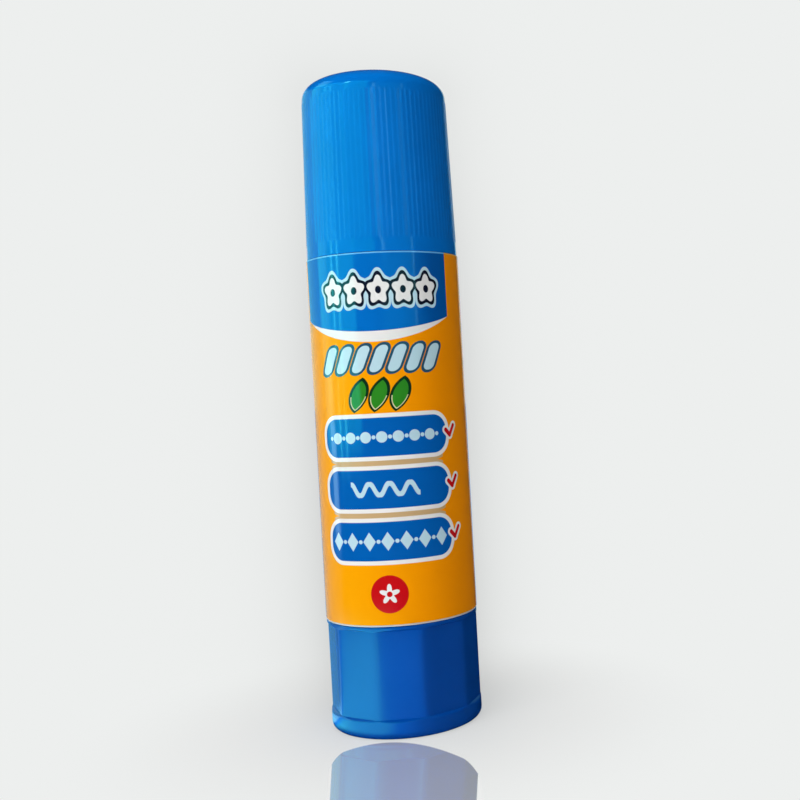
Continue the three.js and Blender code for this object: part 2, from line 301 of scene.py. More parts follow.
@dataclass(frozen=True)
class Plane:
    """A place to draw on: millimetres across and up from its middle, as wires."""

    across: Wire
    up: Wire

    def moved(self, across: float, up: float) -> "Plane":
        """The same plane with its middle moved."""
        return Plane(self.across - across, self.up - up)

    def leaning(self, slope: float) -> "Plane":
        """The same plane with what is drawn on it leaning to the right by a slope."""
        return Plane(self.across - self.up * slope, self.up)

    def taller(self, stretch: float) -> "Plane":
        """The same plane with what is drawn on it stretched upwards."""
        return Plane(self.across, self.up / stretch)

    def row(self, pitch: float, first: int, last: int) -> "Plane":
        """A plane that repeats across, from copy first to copy last."""
        copy = self.across.math("ROUND", self.across / pitch).between(first, last)
        return Plane(self.across - copy * pitch, self.up)

    def stack(self, pitch: float, first: int, last: int) -> "Plane":
        """A plane that repeats upwards, from copy first to copy last."""
        copy = self.up.math("ROUND", self.up / pitch).between(first, last)
        return Plane(self.across, self.up - copy * pitch)

    def reach(self) -> Wire:
        """Distance from the middle: the root of the sum of the squares."""
        square = self.across * self.across + self.up * self.up
        return square.math("SQRT", square)

    def disc(self, radius: float) -> Wire:
        """Distance to the edge of a disc, less than 0 inside it."""
        return self.reach() - radius

    def plate(self, half_width: float, half_height: float, corner: float) -> Wire:
        """Distance to the edge of a plate with round corners.

        Both offsets from the corners' centres are cut at 0, their length is the distance outside,
        and the larger of the two is the distance inside.

        Args:
            half_width: Half of its width.
            half_height: Half of its height.
            corner: Radius of its corners.

        Returns:
            The distance, less than 0 inside.
        """
        side = abs(self.across) - (half_width - corner)
        top = abs(self.up) - (half_height - corner)
        outside = Plane(side.most(0), top.most(0)).reach()
        return outside + side.most(top).least(0) - corner

    def stroke(self, start: Numbers, end: Numbers, half_width: float) -> Wire:
        """Distance to the edge of a straight stroke with round ends.

        The nearest point lies at the clamped share of the stroke that the place's shadow falls on.

        Args:
            start: One end of its middle line.
            end: The other end.
            half_width: Half of its width.

        Returns:
            The distance, less than 0 inside.
        """
        run, rise = end[0] - start[0], end[1] - start[1]
        local = self.moved(*start)
        share = ((local.across * run + local.up * rise) / (run * run + rise * rise)).between(0, 1)
        return Plane(local.across - share * run, local.up - share * rise).reach() - half_width

    def leaf(self, half_length: float, half_width: float) -> Wire:
        """Distance to the edge of an upright leaf, where two equal discs overlap.

        Their radius is the sum of the squares of the two halves over twice the half width, and their
        middles lie off to the sides by the radius less the half width.

        Args:
            half_length: Half of its length.
            half_width: Half of its width.

        Returns:
            The distance, less than 0 inside.
        """
        radius = (half_length ** 2 + half_width ** 2) / (2 * half_width)
        offset = radius - half_width
        return self.moved(offset, 0).disc(radius).most(self.moved(-offset, 0).disc(radius))

    def wave(self, length: float, height: float, half_width: float) -> Wire:
        """Distance to the edge of a wavy line that swings along a sine.

        The height off the sine is divided by the root of 1 and the square of the slope there.

        Args:
            length: Length of one wave.
            height: How far it swings up and down.
            half_width: Half of the line's width.

        Returns:
            The distance, less than 0 inside.
        """
        rate = 2 * math.pi / length
        swing = self.across.math("SINE", self.across * rate) * height
        slope = self.across.math("COSINE", self.across * rate) * (height * rate)
        return abs(self.up - swing) / slope.math("SQRT", slope * slope + 1) - half_width

    def lozenge(self, half_width: float, half_height: float) -> Wire:
        """Distance to the edge of a lozenge: its shares of both halves, less 1, over their slope."""
        slant = math.hypot(1 / half_width, 1 / half_height)
        return (abs(self.across) / half_width + abs(self.up) / half_height - 1) / slant

    def flower(self, radius: float, depth: float, petals: int) -> Wire:
        """Distance to the edge of a flower whose radius swings with the cosine of the angle.

        Args:
            radius: Middle radius of its petals' edge.
            depth: How far the edge swings in and out.
            petals: How many there are.

        Returns:
            The distance, less than 0 inside.
        """
        angle = self.across.math("ARCTAN2", self.across, self.up)
        swing = angle.math("COSINE", angle * petals) * depth
        return self.reach() - swing - radius


@dataclass(frozen=True)
class Row:
    """A row of like ornaments: its middle, how far apart they are, and the first and last of them."""

    middle: Numbers
    pitch: float
    first: int
    last: int
    lean: float = 0.0
    stretch: float = 1.0

    def on(self, plane: Plane) -> Plane:
        """The plane that repeats along the row, leaning and stretched as its ornaments are."""
        leaning = plane.moved(*self.middle).leaning(self.lean)
        return leaning.row(self.pitch, self.first, self.last).taller(self.stretch)


class Picture:
    """A print in the making: shapes that cover each other in order, and where any of them lies."""

    def __init__(self, sheet: Sheet, edge: float, ground: Wire) -> None:
        """Starts with the bare ground and the width of the edges.

        Args:
            sheet: The sheet that it is worked out on.
            edge: Width over which an edge goes from bare to printed.
            ground: Colour of the ground.
        """
        self.sheet = sheet
        self.edge = edge
        self.colour = ground
        self.printed: Wire | None = None

    def cover(self, distance: Wire, ink: Ink | Wire, grown: float = 0.0) -> None:
        """Covers the picture with a shape.

        The shape's mask is a half less the grown distance over the edge's width, held between 0 and 1.

        Args:
            distance: Distance to the shape's edge, less than 0 inside it.
            ink: The shape's colour.
            grown: How far the colour reaches past the shape's edge.
        """
        mask = (0.5 - (distance - grown) / self.edge).between(0, 1)
        self.colour = self.sheet.mix(mask, self.colour, ink.linear if isinstance(ink, Ink) else ink)
        self.printed = mask if self.printed is None else self.printed.most(mask)


class Colouring(Enum):
    """How a moulded piece's colour wanders."""

    EVEN = 0.03
    CLOUDED = 0.08


@dataclass(frozen=True)
class MouldedPlastic:
    """Moulded plastic: faint clouds of colour, a soft sheen that varies, and fine grain."""

    name: str
    ink: Ink
    colouring: Colouring = Colouring.EVEN
    roughness: float = 0.36
    roughness_swing: float = 0.08
    specular: float = 0.3
    cloud_size: float = 6.0
    cloud_range: Numbers = (0.3, 0.7)
    grain_size: float = 0.35
    grain_depth: float = 0.0016
    ripple_size: float = 5.0
    ripple_depth: float = 0.012
    satin: Numbers | None = None
    satin_gain: float = 0.07
    satin_fade: float = 0.3

    def material(self) -> bpy.types.Material:
        """Makes the material.

        The bump's height is the sum of ripple and grain, each by its share of the whole depth. Between
        the two heights of the satin band, if there is one, the surface is rougher by a gain.

        Returns:
            The material.
        """
        material = bpy.data.materials.new(self.name)
        sheet = Sheet(material)
        place = sheet.millimetres()
        clouds = sheet.noise(place, self.cloud_size)
        grain = sheet.noise(place, self.grain_size)
        ripple = sheet.noise(place, self.ripple_size, detail=0.0)
        *colour, alpha = self.ink.linear
        darker = [share * (1 - 2 * self.colouring.value) for share in colour]
        depth = self.ripple_depth + self.grain_depth
        height = ripple * (self.ripple_depth / depth) + grain * (self.grain_depth / depth)
        roughness = clouds * self.roughness_swing + (self.roughness - self.roughness_swing / 2)
        if self.satin:
            start, end = self.satin
            level = sheet.parts(place)[2]
            begun = level.share(start, start + self.satin_fade)
            ended = level.share(end - self.satin_fade, end)
            roughness = roughness + begun * (1 - ended) * self.satin_gain
        sheet.surface(sheet.shader({
            "Base Color": sheet.mix(clouds.share(*self.cloud_range), (*darker, alpha), self.ink.linear),
            "Roughness": roughness,
            "Specular IOR Level": self.specular,
            "Normal": sheet.bump(height, depth),
        }))
        return material


@dataclass(frozen=True)
class GlueWax:
    """Solid glue: cream, waxy and slightly see-through, with a skin of shallow dents."""

    name: str = "glue_wax"
    roughness: float = 0.42
    roughness_swing: float = 0.2
    glow: float = 0.25
    glow_depth: float = 1.5
    dent_size: float = 1.8
    dent_detail: float = 3.0
    dent_range: Numbers = (0.3, 0.7)
    dent_depth: float = 0.06
    dent_tint: Numbers = (0.93, 0.92, 0.88)

    def material(self) -> bpy.types.Material:
        """Makes the material.

        Returns:
            The material, darker and smoother in the dents.
        """
        material = bpy.data.materials.new(self.name)
        sheet = Sheet(material)
        dents = sheet.noise(sheet.millimetres(), self.dent_size, self.dent_detail)
        *colour, alpha = Ink.GLUE_CREAM.linear
        darker = [share * tint for share, tint in zip(colour, self.dent_tint)]
        sheet.surface(sheet.shader({
            "Base Color": sheet.mix(dents.share(*self.dent_range), (*darker, alpha), Ink.GLUE_CREAM.linear),
            "Roughness": dents * self.roughness_swing + (self.roughness - self.roughness_swing / 2),
            "Subsurface Weight": self.glow,
            "Subsurface Scale": self.glow_depth * MM,
            "Normal": sheet.bump(dents, self.dent_depth),
        }))
        return material


@dataclass(frozen=True)
class LabelPrint:
    """Glossy printed film: an orange ground, a blue panel over a white sweep, three blue tablets with
    ticks, and plain ornaments. Painted shade darkens the ground and the panel toward the stick's right
    side, and a painted highlight runs along the top edge. It is drawn on the map of the film laid flat,
    in millimetres.
    """

    radius: float
    name: str = "label_print"
    edge: float = 0.05
    # Painted shade: the span across which the ground deepens toward the right side.
    ground_shade_span: Numbers = (-9.0, 8.0)
    # Above this height the top edge carries a painted highlight.
    glint_bottom: float = 62.16
    # Painted shade: the span across which the panel deepens toward the right side.
    panel_shade_span: Numbers = (2.0, 7.0)
    panel_sides: Numbers = (-13.6, 9.08)
    panel_bottom: Numbers = (52.3, 1.7, -1.75)
    sweep_bottom: Numbers = (50.95, 3.1, -1.75)
    sweep_half_width: float = 10.9
    blossoms: Row = Row((-0.8, 57.5), 3.15, -2, 2, stretch=1.3)
    blossom: tuple[float, float, int] = (1.22, 0.24, 5)
    blossom_rims: Numbers = (0.72, 0.38)
    blossom_heart: float = 0.38
    pebbles: Row = Row((-1.2, 48.8), 2.35, -3, 3, lean=0.42)
    pebble: Numbers = (0.76, 1.7, 0.7)
    pebble_rim: float = 0.36
    leaves: Row = Row((-1.4, 44.25), 2.7, -1, 1, lean=0.32)
    leaf: Numbers = (1.8, 0.95)
    leaf_rim: float = 0.38
    leaf_foot: float = 0.3
    leaf_foot_rim: float = 0.12
    tablet_middle: Numbers = (-1.17, 32.2)
    tablet_pitch: float = 6.645
    tablet: Numbers = (9.25, 3.0, 2.6)
    tablet_border: float = 0.53
    tablet_shadow: float = 0.33
    tablet_joint: float = 7.6
    dots: Row = Row((-0.2, 0.0), 2.1, -3, 3)
    dot: float = 0.72
    specks: Row = Row((0.85, 0.0), 2.1, -4, 3)
    speck: float = 0.26
    wave_middle: float = -0.2
    wave: Numbers = (2.6, 0.7, 0.3)
    wave_end: float = 4.55
    lozenges: Row = Row((-0.15, 0.0), 2.4, -3, 3)
    lozenge: Numbers = (0.85, 1.2)
    low_specks: Row = Row((1.05, 0.0), 2.4, -3, 2)
    tick_corners: tuple[Numbers, ...] = ((7.54, 32.56), (8.23, 31.86), (9.02, 33.1))
    tick_halves: Numbers = (0.28, 0.24)
    tick_rim: float = 0.3
    badge_middle: Numbers = (-1.47, 18.8)
    badge: float = 2.43
    badge_flower: tuple[float, float, int] = (0.95, 0.38, 5)
    badge_heart: float = 0.36
    back_middle: Numbers = (-25.0, 36.0)
    back: Numbers = (5.2, 15.0, 1.2)
    seam_across: float = 28.6
    seam_line: float = 0.07
    seam_step: float = 0.05
    roughness: float = 0.11
    roughness_swing: float = 0.08
    swell_size: float = 7.0
    swell_share: float = 0.6
    relief: float = 0.05
    specular: float = 0.5
    ground_specular: float = 0.2
    ground_tint: Colour = (1.0, 0.9, 0.05, 1.0)

    def above(self, plane: Plane, curve: Numbers) -> Wire:
        """Height above a curve that rises with the square of the distance from its lowest place.

        Args:
            plane: The film laid flat.
            curve: Height of its lowest place, its rise over the half width, and the place's offset across.

        Returns:
            The height, less than 0 below the curve.
        """
        low, rise, middle = curve
        away = (plane.across - middle) / self.sweep_half_width
        return plane.up - (away * away * rise + low)

    def paint_panel(self, picture: Picture, plane: Plane) -> None:
        """Paints the painted highlight along the top edge, the blue panel with painted shade that darkens
        it toward the right side, and the white sweep below it.

        Args:
            picture: The picture.
            plane: The film laid flat.
        """
        left, right = self.panel_sides
        sides = (plane.across - right).most(left - plane.across)
        above_panel = self.above(plane, self.panel_bottom)
        panel = sides.most(0 - above_panel)
        sweep = sides.most(0 - self.above(plane, self.sweep_bottom)).most(above_panel)
        # Painted highlight: a bright line along the top edge, amber over the orange and pale blue over the
        # panel.
        glint = self.glint_bottom - plane.up
        # Painted shade: the panel deepens toward the stick's right side.
        right_shade = plane.across.share(*self.panel_shade_span)
        picture.cover(glint, Ink.PAINTED_GLINT_AMBER)
        picture.cover(panel, picture.sheet.mix(right_shade, Ink.PANEL_BLUE.linear, Ink.PANEL_SHADE_BLUE.linear))
        picture.cover(panel.most(glint), Ink.PAINTED_GLINT_SKY)
        picture.cover(sweep, Ink.WHITE)

    def paint_rows(self, picture: Picture, plane: Plane) -> None:
        """Paints the flowers on the panel, and the leaning pebbles and leaves below it.

        Args:
            picture: The picture.
            plane: The film laid flat.
        """
        spot = self.blossoms.on(plane)
        blossom = spot.flower(*self.blossom)
        for ink, rim in zip((Ink.PALE_BLUE, Ink.NAVY), self.blossom_rims):
            picture.cover(blossom, ink, rim)
        picture.cover(blossom, Ink.WHITE)
        picture.cover(spot.disc(self.blossom_heart), Ink.NAVY)
        pebble = self.pebbles.on(plane).plate(*self.pebble)
        picture.cover(pebble, Ink.SLATE, self.pebble_rim)
        picture.cover(pebble, Ink.PALE_BLUE)
        spot = self.leaves.on(plane)
        leaf = spot.leaf(*self.leaf)
        picture.cover(leaf, Ink.DARK_GREEN, self.leaf_rim)
        picture.cover(leaf.most(spot.up + self.leaf_foot), Ink.CREAM, self.leaf_foot_rim)
        picture.cover(leaf, Ink.GREEN)

    def paint_tablets(self, picture: Picture, plane: Plane) -> None:
        """Paints the three joined tablets, with dots, a wave and lozenges in them from the top down.

        Args:
            picture: The picture.
            plane: The film laid flat.
        """
        stack = plane.moved(*self.tablet_middle)
        tablet = stack.stack(self.tablet_pitch, -1, 1).plate(*self.tablet)
        joint = (abs(stack.up) - self.tablet_pitch).most(abs(stack.across) - self.tablet_joint)
        picture.cover(tablet.most(joint), Ink.TAN, self.tablet_shadow)
        picture.cover(tablet, Ink.WHITE)
        picture.cover(tablet, Ink.TABLET_BLUE, -self.tablet_border)
        top, low = stack.moved(0, self.tablet_pitch), stack.moved(0, -self.tablet_pitch)
        specks, low_specks = self.specks.on(top).disc(self.speck), self.low_specks.on(low).disc(self.speck)
        dots = self.dots.on(top).disc(self.dot).least(specks)
        middle = stack.moved(self.wave_middle, 0)
        wave = middle.wave(*self.wave).most(abs(middle.across) - self.wave_end)
        lozenges = self.lozenges.on(low).lozenge(*self.lozenge).least(low_specks)
        for ornament in (dots, wave, lozenges):
            picture.cover(ornament, Ink.PALE_BLUE)

    def paint_ticks(self, picture: Picture, plane: Plane) -> None:
        """Paints a red tick with a white rim on the right end of each tablet.

        Args:
            picture: The picture.
            plane: The film laid flat.
        """
        middle = self.tablet_middle[1]
        spot = plane.moved(0, middle).stack(self.tablet_pitch, -1, 1).moved(0, -middle)
        start, turn, end = self.tick_corners
        short, long = self.tick_halves
        tick = spot.stroke(start, turn, short).least(spot.stroke(turn, end, long))
        picture.cover(tick, Ink.WHITE, self.tick_rim)
        picture.cover(tick, Ink.RED)

    def paint_badge(self, picture: Picture, plane: Plane) -> None:
        """Paints the red disc with a white flower, open at its heart.

        Args:
            picture: The picture.
            plane: The film laid flat.
        """
        spot = plane.moved(*self.badge_middle)
        picture.cover(spot.disc(self.badge), Ink.RED)
        picture.cover(spot.flower(*self.badge_flower).most(self.badge_heart - spot.reach()), Ink.WHITE)

    def paint_back(self, picture: Picture, plane: Plane) -> None:
        """Paints the bare pale panel at the back and the line of the seam."""
        picture.cover(plane.moved(*self.back_middle).plate(*self.back), Ink.WHITE)
        picture.cover(abs(plane.across - self.seam_across), Ink.DEEP_ORANGE, self.seam_line)

    def material(self) -> bpy.types.Material:
        """Makes the material.

        The bare ground shines less than what is printed on it, and its shine is tinted. The film swells
        a little and steps up at the seam, by their shares of the relief.

        Returns:
            The material.
        """
        material = bpy.data.materials.new(self.name)
        sheet = Sheet(material)
        across, up, _ = sheet.parts(sheet.wire("ShaderNodeUVMap", {"uv_map": PRINT_MAP}))
        turn = 2 * math.pi * self.radius
        plane = Plane(across * turn - turn / 2, up * PRINT_SCALE)
        # Painted shade: the orange ground deepens toward the stick's right side.
        right_shade = plane.across.share(*self.ground_shade_span)
        picture = Picture(sheet, self.edge, sheet.mix(right_shade, Ink.ORANGE.linear, Ink.DEEP_ORANGE.linear))
        self.paint_panel(picture, plane)
        self.paint_rows(picture, plane)
        self.paint_tablets(picture, plane)
        self.paint_ticks(picture, plane)
        self.paint_badge(picture, plane)
        self.paint_back(picture, plane)
        swell = sheet.noise(sheet.millimetres(), self.swell_size, detail=1.0)
        step = (plane.across - self.seam_across).share(-self.seam_step, self.seam_step)
        common = {
            "Base Color": picture.colour,
            "Roughness": swell * self.roughness_swing + (self.roughness - self.roughness_swing / 2),
            "Normal": sheet.bump(swell * self.swell_share + step * (1 - self.swell_share), self.relief),
        }
        bare = {"Specular IOR Level": self.ground_specular, "Specular Tint": self.ground_tint}
        ground = sheet.shader({**common, **bare})
        printed = sheet.shader({**common, "Specular IOR Level": self.specular})
        sheet.surface(sheet.blend(picture.printed, ground, printed))
        return material


def rounded(
    before: np.ndarray, here: np.ndarray, after: np.ndarray, fillet: float, steps: int,
) -> np.ndarray:
    """Rounds one corner.

    The arc starts and ends at its radius over the tangent of half the corner's angle, and its centre
    lies on the bisector at the radius over the sine of that half. Each of its points is the sum of the
    two arms to its ends, weighted by the sines of its shares of the turn. A support point next to each
    end keeps the shading of flat stretches flat.

    Args:
        before: The corner before it.
        here: The corner.
        after: The corner after it.
        fillet: The arc's radius, which is less where a stretch is short.
        steps: Points on the arc, less one.

    Returns:
        The radius and height of each point, in rows.
    """
    back, ahead = before - here, after - here
    room = min(np.linalg.norm(back), np.linalg.norm(ahead))
    back, ahead = back / np.linalg.norm(back), ahead / np.linalg.norm(ahead)
    half = math.acos(float(np.clip(back @ ahead, -1, 1))) / 2
    reach = min(fillet / math.tan(half), room * FILLET_ROOM)
    radius = reach * math.tan(half)
    bisector = (back + ahead) / np.linalg.norm(back + ahead)
    centre = here + bisector * radius / math.sin(half)
    sweep = math.pi - 2 * half
    shares = np.linspace(0, 1, steps + 1)[:, None]
    first, last = here + back * reach - centre, here + ahead * reach - centre
    weighted = np.sin((1 - shares) * sweep) * first + np.sin(shares * sweep) * last
    arc = centre + weighted / math.sin(sweep)
    far = reach + min(SUPPORT * fillet, (room - reach) * SUPPORT_ROOM)
    return np.vstack([here + back * far, arc, here + ahead * far])


def divided(start: np.ndarray, end: np.ndarray, corner: Numbers) -> np.ndarray:
    """Points between two ends, not counting them, spaced evenly by no more than a step.

    Args:
        start: Radius and height of one end.
        end: Radius and height of the other.
        corner: The corner at the stretch's end, whose fourth number is the step, if it has one.

    Returns:
        The radius and height of each point, in rows.
    """
    if len(corner) < 4:
        return np.empty((0, 2))
    count = max(1, math.ceil(np.linalg.norm(end - start) / corner[3]))
    shares = np.linspace(0, 1, count + 1)[1:-1, None]
    return start + (end - start) * shares


def profile(
    corners: Sequence[Numbers], loop: bool = False, arc_steps: int = 4,
) -> tuple[np.ndarray, np.ndarray]:
    """Turns an outline with corners into points: the corners rounded and long stretches divided.

    Args:
        corners: Radius, height, fillet and, if the stretch up to the corner is divided, a step.
        loop: True if the last corner is followed by the first.
        arc_steps: Points on an arc, less one.

    Returns:
        The radii and the heights of the outline's points.
    """
    spots = [np.array(corner[:2], dtype=float) for corner in corners]
    pieces: list[np.ndarray] = []
    for index, corner in enumerate(corners):
        fillet = corner[2] if len(corner) > 2 else 0.0
        open_end = not loop and index in (0, len(corners) - 1)
        if open_end or not fillet:
            arc = spots[index][None, :]
        else:
            after = spots[(index + 1) % len(spots)]
            arc = rounded(spots[index - 1], spots[index], after, fillet, arc_steps)
        if pieces:
            pieces.append(divided(pieces[-1][-1], arc[0], corner))
        pieces.append(arc)
    if loop:
        pieces.append(divided(pieces[-1][-1], pieces[0][0], corners[0]))
    points = np.vstack(pieces)
    return points[:, 0], points[:, 1]


def softly_smaller(first: np.ndarray, second: np.ndarray, softness: float) -> np.ndarray:
    """The smaller of two values with a soft corner: half of their sum less the root of the squares of
    their difference and of the softness.
    """
    return 0.5 * (first + second - np.sqrt((first - second) ** 2 + softness ** 2))


def columns(count: int, edges: Sequence[float] = (), gap: float = 0.15) -> np.ndarray:
    """Angles round the stick, in degrees from -180.

    Args:
        count: Evenly spaced angles.
        edges: Angles at which a shape steps, each of which gets an angle on both sides.
        gap: Distance of those angles from the edge.

    Returns:
        The angles in order.
    """
    even = np.linspace(-180, 180, count, endpoint=False)
    if not len(edges):
        return even
    near = (np.concatenate([np.asarray(edges) - gap, np.asarray(edges) + gap]) + 180) % 360 - 180
    far = np.min(np.abs(even[:, None] - near[None, :]), axis=1) > gap
    return np.sort(np.concatenate([even[far], near]))


def teeth(number: int, half: float, count: int) -> tuple[np.ndarray, np.ndarray]:
    """Angles for a shape with like teeth or grooves round it.

    Args:
        number: How many teeth there are.
        half: Half of a tooth's width, in degrees.
        count: Evenly spaced angles.

    Returns:
        The angles, and which of them are on a tooth.
    """
    pitch = 360 / number
    middles = np.arange(number) * pitch - 180
    angles = columns(count, np.concatenate([middles - half, middles + half]))
    return angles, np.abs((angles + pitch / 2) % pitch - pitch / 2) < half


def squaring(degrees: np.ndarray) -> np.ndarray:
    """What makes a circle a square: 1 over the larger of the sizes of the angle's cosine and sine."""
    angle = np.radians(degrees)
    return 1 / np.maximum(np.abs(np.cos(angle)), np.abs(np.sin(angle)))


def around(radius: np.ndarray, height: np.ndarray, degrees: np.ndarray) -> np.ndarray:
    """Points of a turned shape: x = radius sin angle, y = -radius cos angle, z = height.

    Args:
        radius: Radii, one row for each point of the profile.
        height: Heights, of the same form.
        degrees: Angles, one for each column.

    Returns:
        An array of rows, columns and three coordinates.
    """
    angle = np.radians(degrees)[None, :]
    radius, height, angle = np.broadcast_arrays(radius, height, angle)
    return np.stack([radius * np.sin(angle), -radius * np.cos(angle), height], axis=-1)


class Skin:
    """Closed grids of points that become one mesh."""

    def __init__(self) -> None:
        """Starts empty."""
        self.points: list[np.ndarray] = []
        self.faces: list[np.ndarray] = []
        self.maps: list[np.ndarray] = []
        self.total = 0

    def add(
        self, points: np.ndarray, loop: bool = False, film: tuple[np.ndarray, np.ndarray] | None = None,
    ) -> None:
        """Adds a grid whose columns run round and close.

        Args:
            points: Rows, columns and three coordinates, in millimetres.
            loop: True if the last row joins the first. Otherwise both are poles, drawn to one point.
            film: Map coordinates of the columns, with one more at the end, and of the rows.
        """
        rows, count = points.shape[:2]
        index = np.arange(rows * count).reshape(rows, count)
        if not loop:
            index[0] = index[0, 0]
            index[-1] = index[-1, 0]
        lower = index if loop else index[:-1]
        upper = np.roll(index, -1, axis=0) if loop else index[1:]
        corners = [lower, np.roll(lower, -1, 1), np.roll(upper, -1, 1), upper]
        self.points.append(points.reshape(-1, 3))
        self.faces.append(np.stack([corner.ravel() for corner in corners], axis=1) + self.total)
        if film is not None:
            (left, right), (low, high) = (film[0][:-1], film[0][1:]), (film[1], np.roll(film[1], -1))
            around_face = [(left, low), (right, low), (right, high), (left, high)]
            pairs = [np.broadcast_arrays(across[None, :], up[:, None]) for across, up in around_face]
            self.maps.append(np.stack([np.stack(pair, axis=-1).reshape(-1, 2) for pair in pairs], axis=1))
        self.total += rows * count

    def piece(self, name: str) -> bpy.types.Object:
        """Makes the mesh object, without the flat sides of faces at a pole.

        Args:
            name: The object's name.

        Returns:
            The object, at the origin, linked to the scene.
        """
        points, faces = np.vstack(self.points), np.vstack(self.faces)
        flat = faces == np.roll(faces, -1, axis=1)
        used = np.unique(faces)
        renumber = np.zeros(len(points), dtype=int)
        renumber[used] = np.arange(len(used))
        sizes = 4 - flat.sum(axis=1)
        corner_list = renumber[faces[~flat]]
        mesh = bpy.data.meshes.new(name)
        mesh.vertices.add(len(used))
        mesh.vertices.foreach_set("co", (points[used] * MM).astype(np.float32).ravel())
        mesh.loops.add(len(corner_list))
        mesh.loops.foreach_set("vertex_index", corner_list.astype(np.int32))
        mesh.polygons.add(len(faces))
        starts = np.concatenate([[0], np.cumsum(sizes)[:-1]])
        mesh.polygons.foreach_set("loop_start", starts.astype(np.int32))
        mesh.polygons.foreach_set("use_smooth", np.ones(len(faces), dtype=bool))
        if self.maps:
            layer = mesh.uv_layers.new(name=PRINT_MAP)
            layer.data.foreach_set("uv", np.vstack(self.maps)[~flat].astype(np.float32).ravel())
        mesh.validate()
        mesh.update()
        piece = bpy.data.objects.new(name, mesh)
        bpy.context.scene.collection.objects.link(piece)
        return piece


class End(Enum):
    """An end of a node."""

    BOTTOM = 0
    TOP = 1


def height_of(node: str, end: End) -> Any:
    """A field that holds the height of a node's end, in millimetres."""
    return field(default_factory=lambda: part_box(node)[end.value][2] / MM)


def seat(piece: bpy.types.Object, finish: bpy.types.Material, body: str, node: str) -> None:
    """Dresses a piece, lets it ride on its body and stand for its node, and reports it.

    Args:
        piece: The piece.
        finish: Its material.
        body: The body that it moves with.
        node: The node that it stands for.
    """
    piece.data.materials.append(finish)
    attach(piece, body)
    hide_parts(node)
    LOG.info("%s: %d faces, rides on %s", piece.name, len(piece.data.polygons), body)


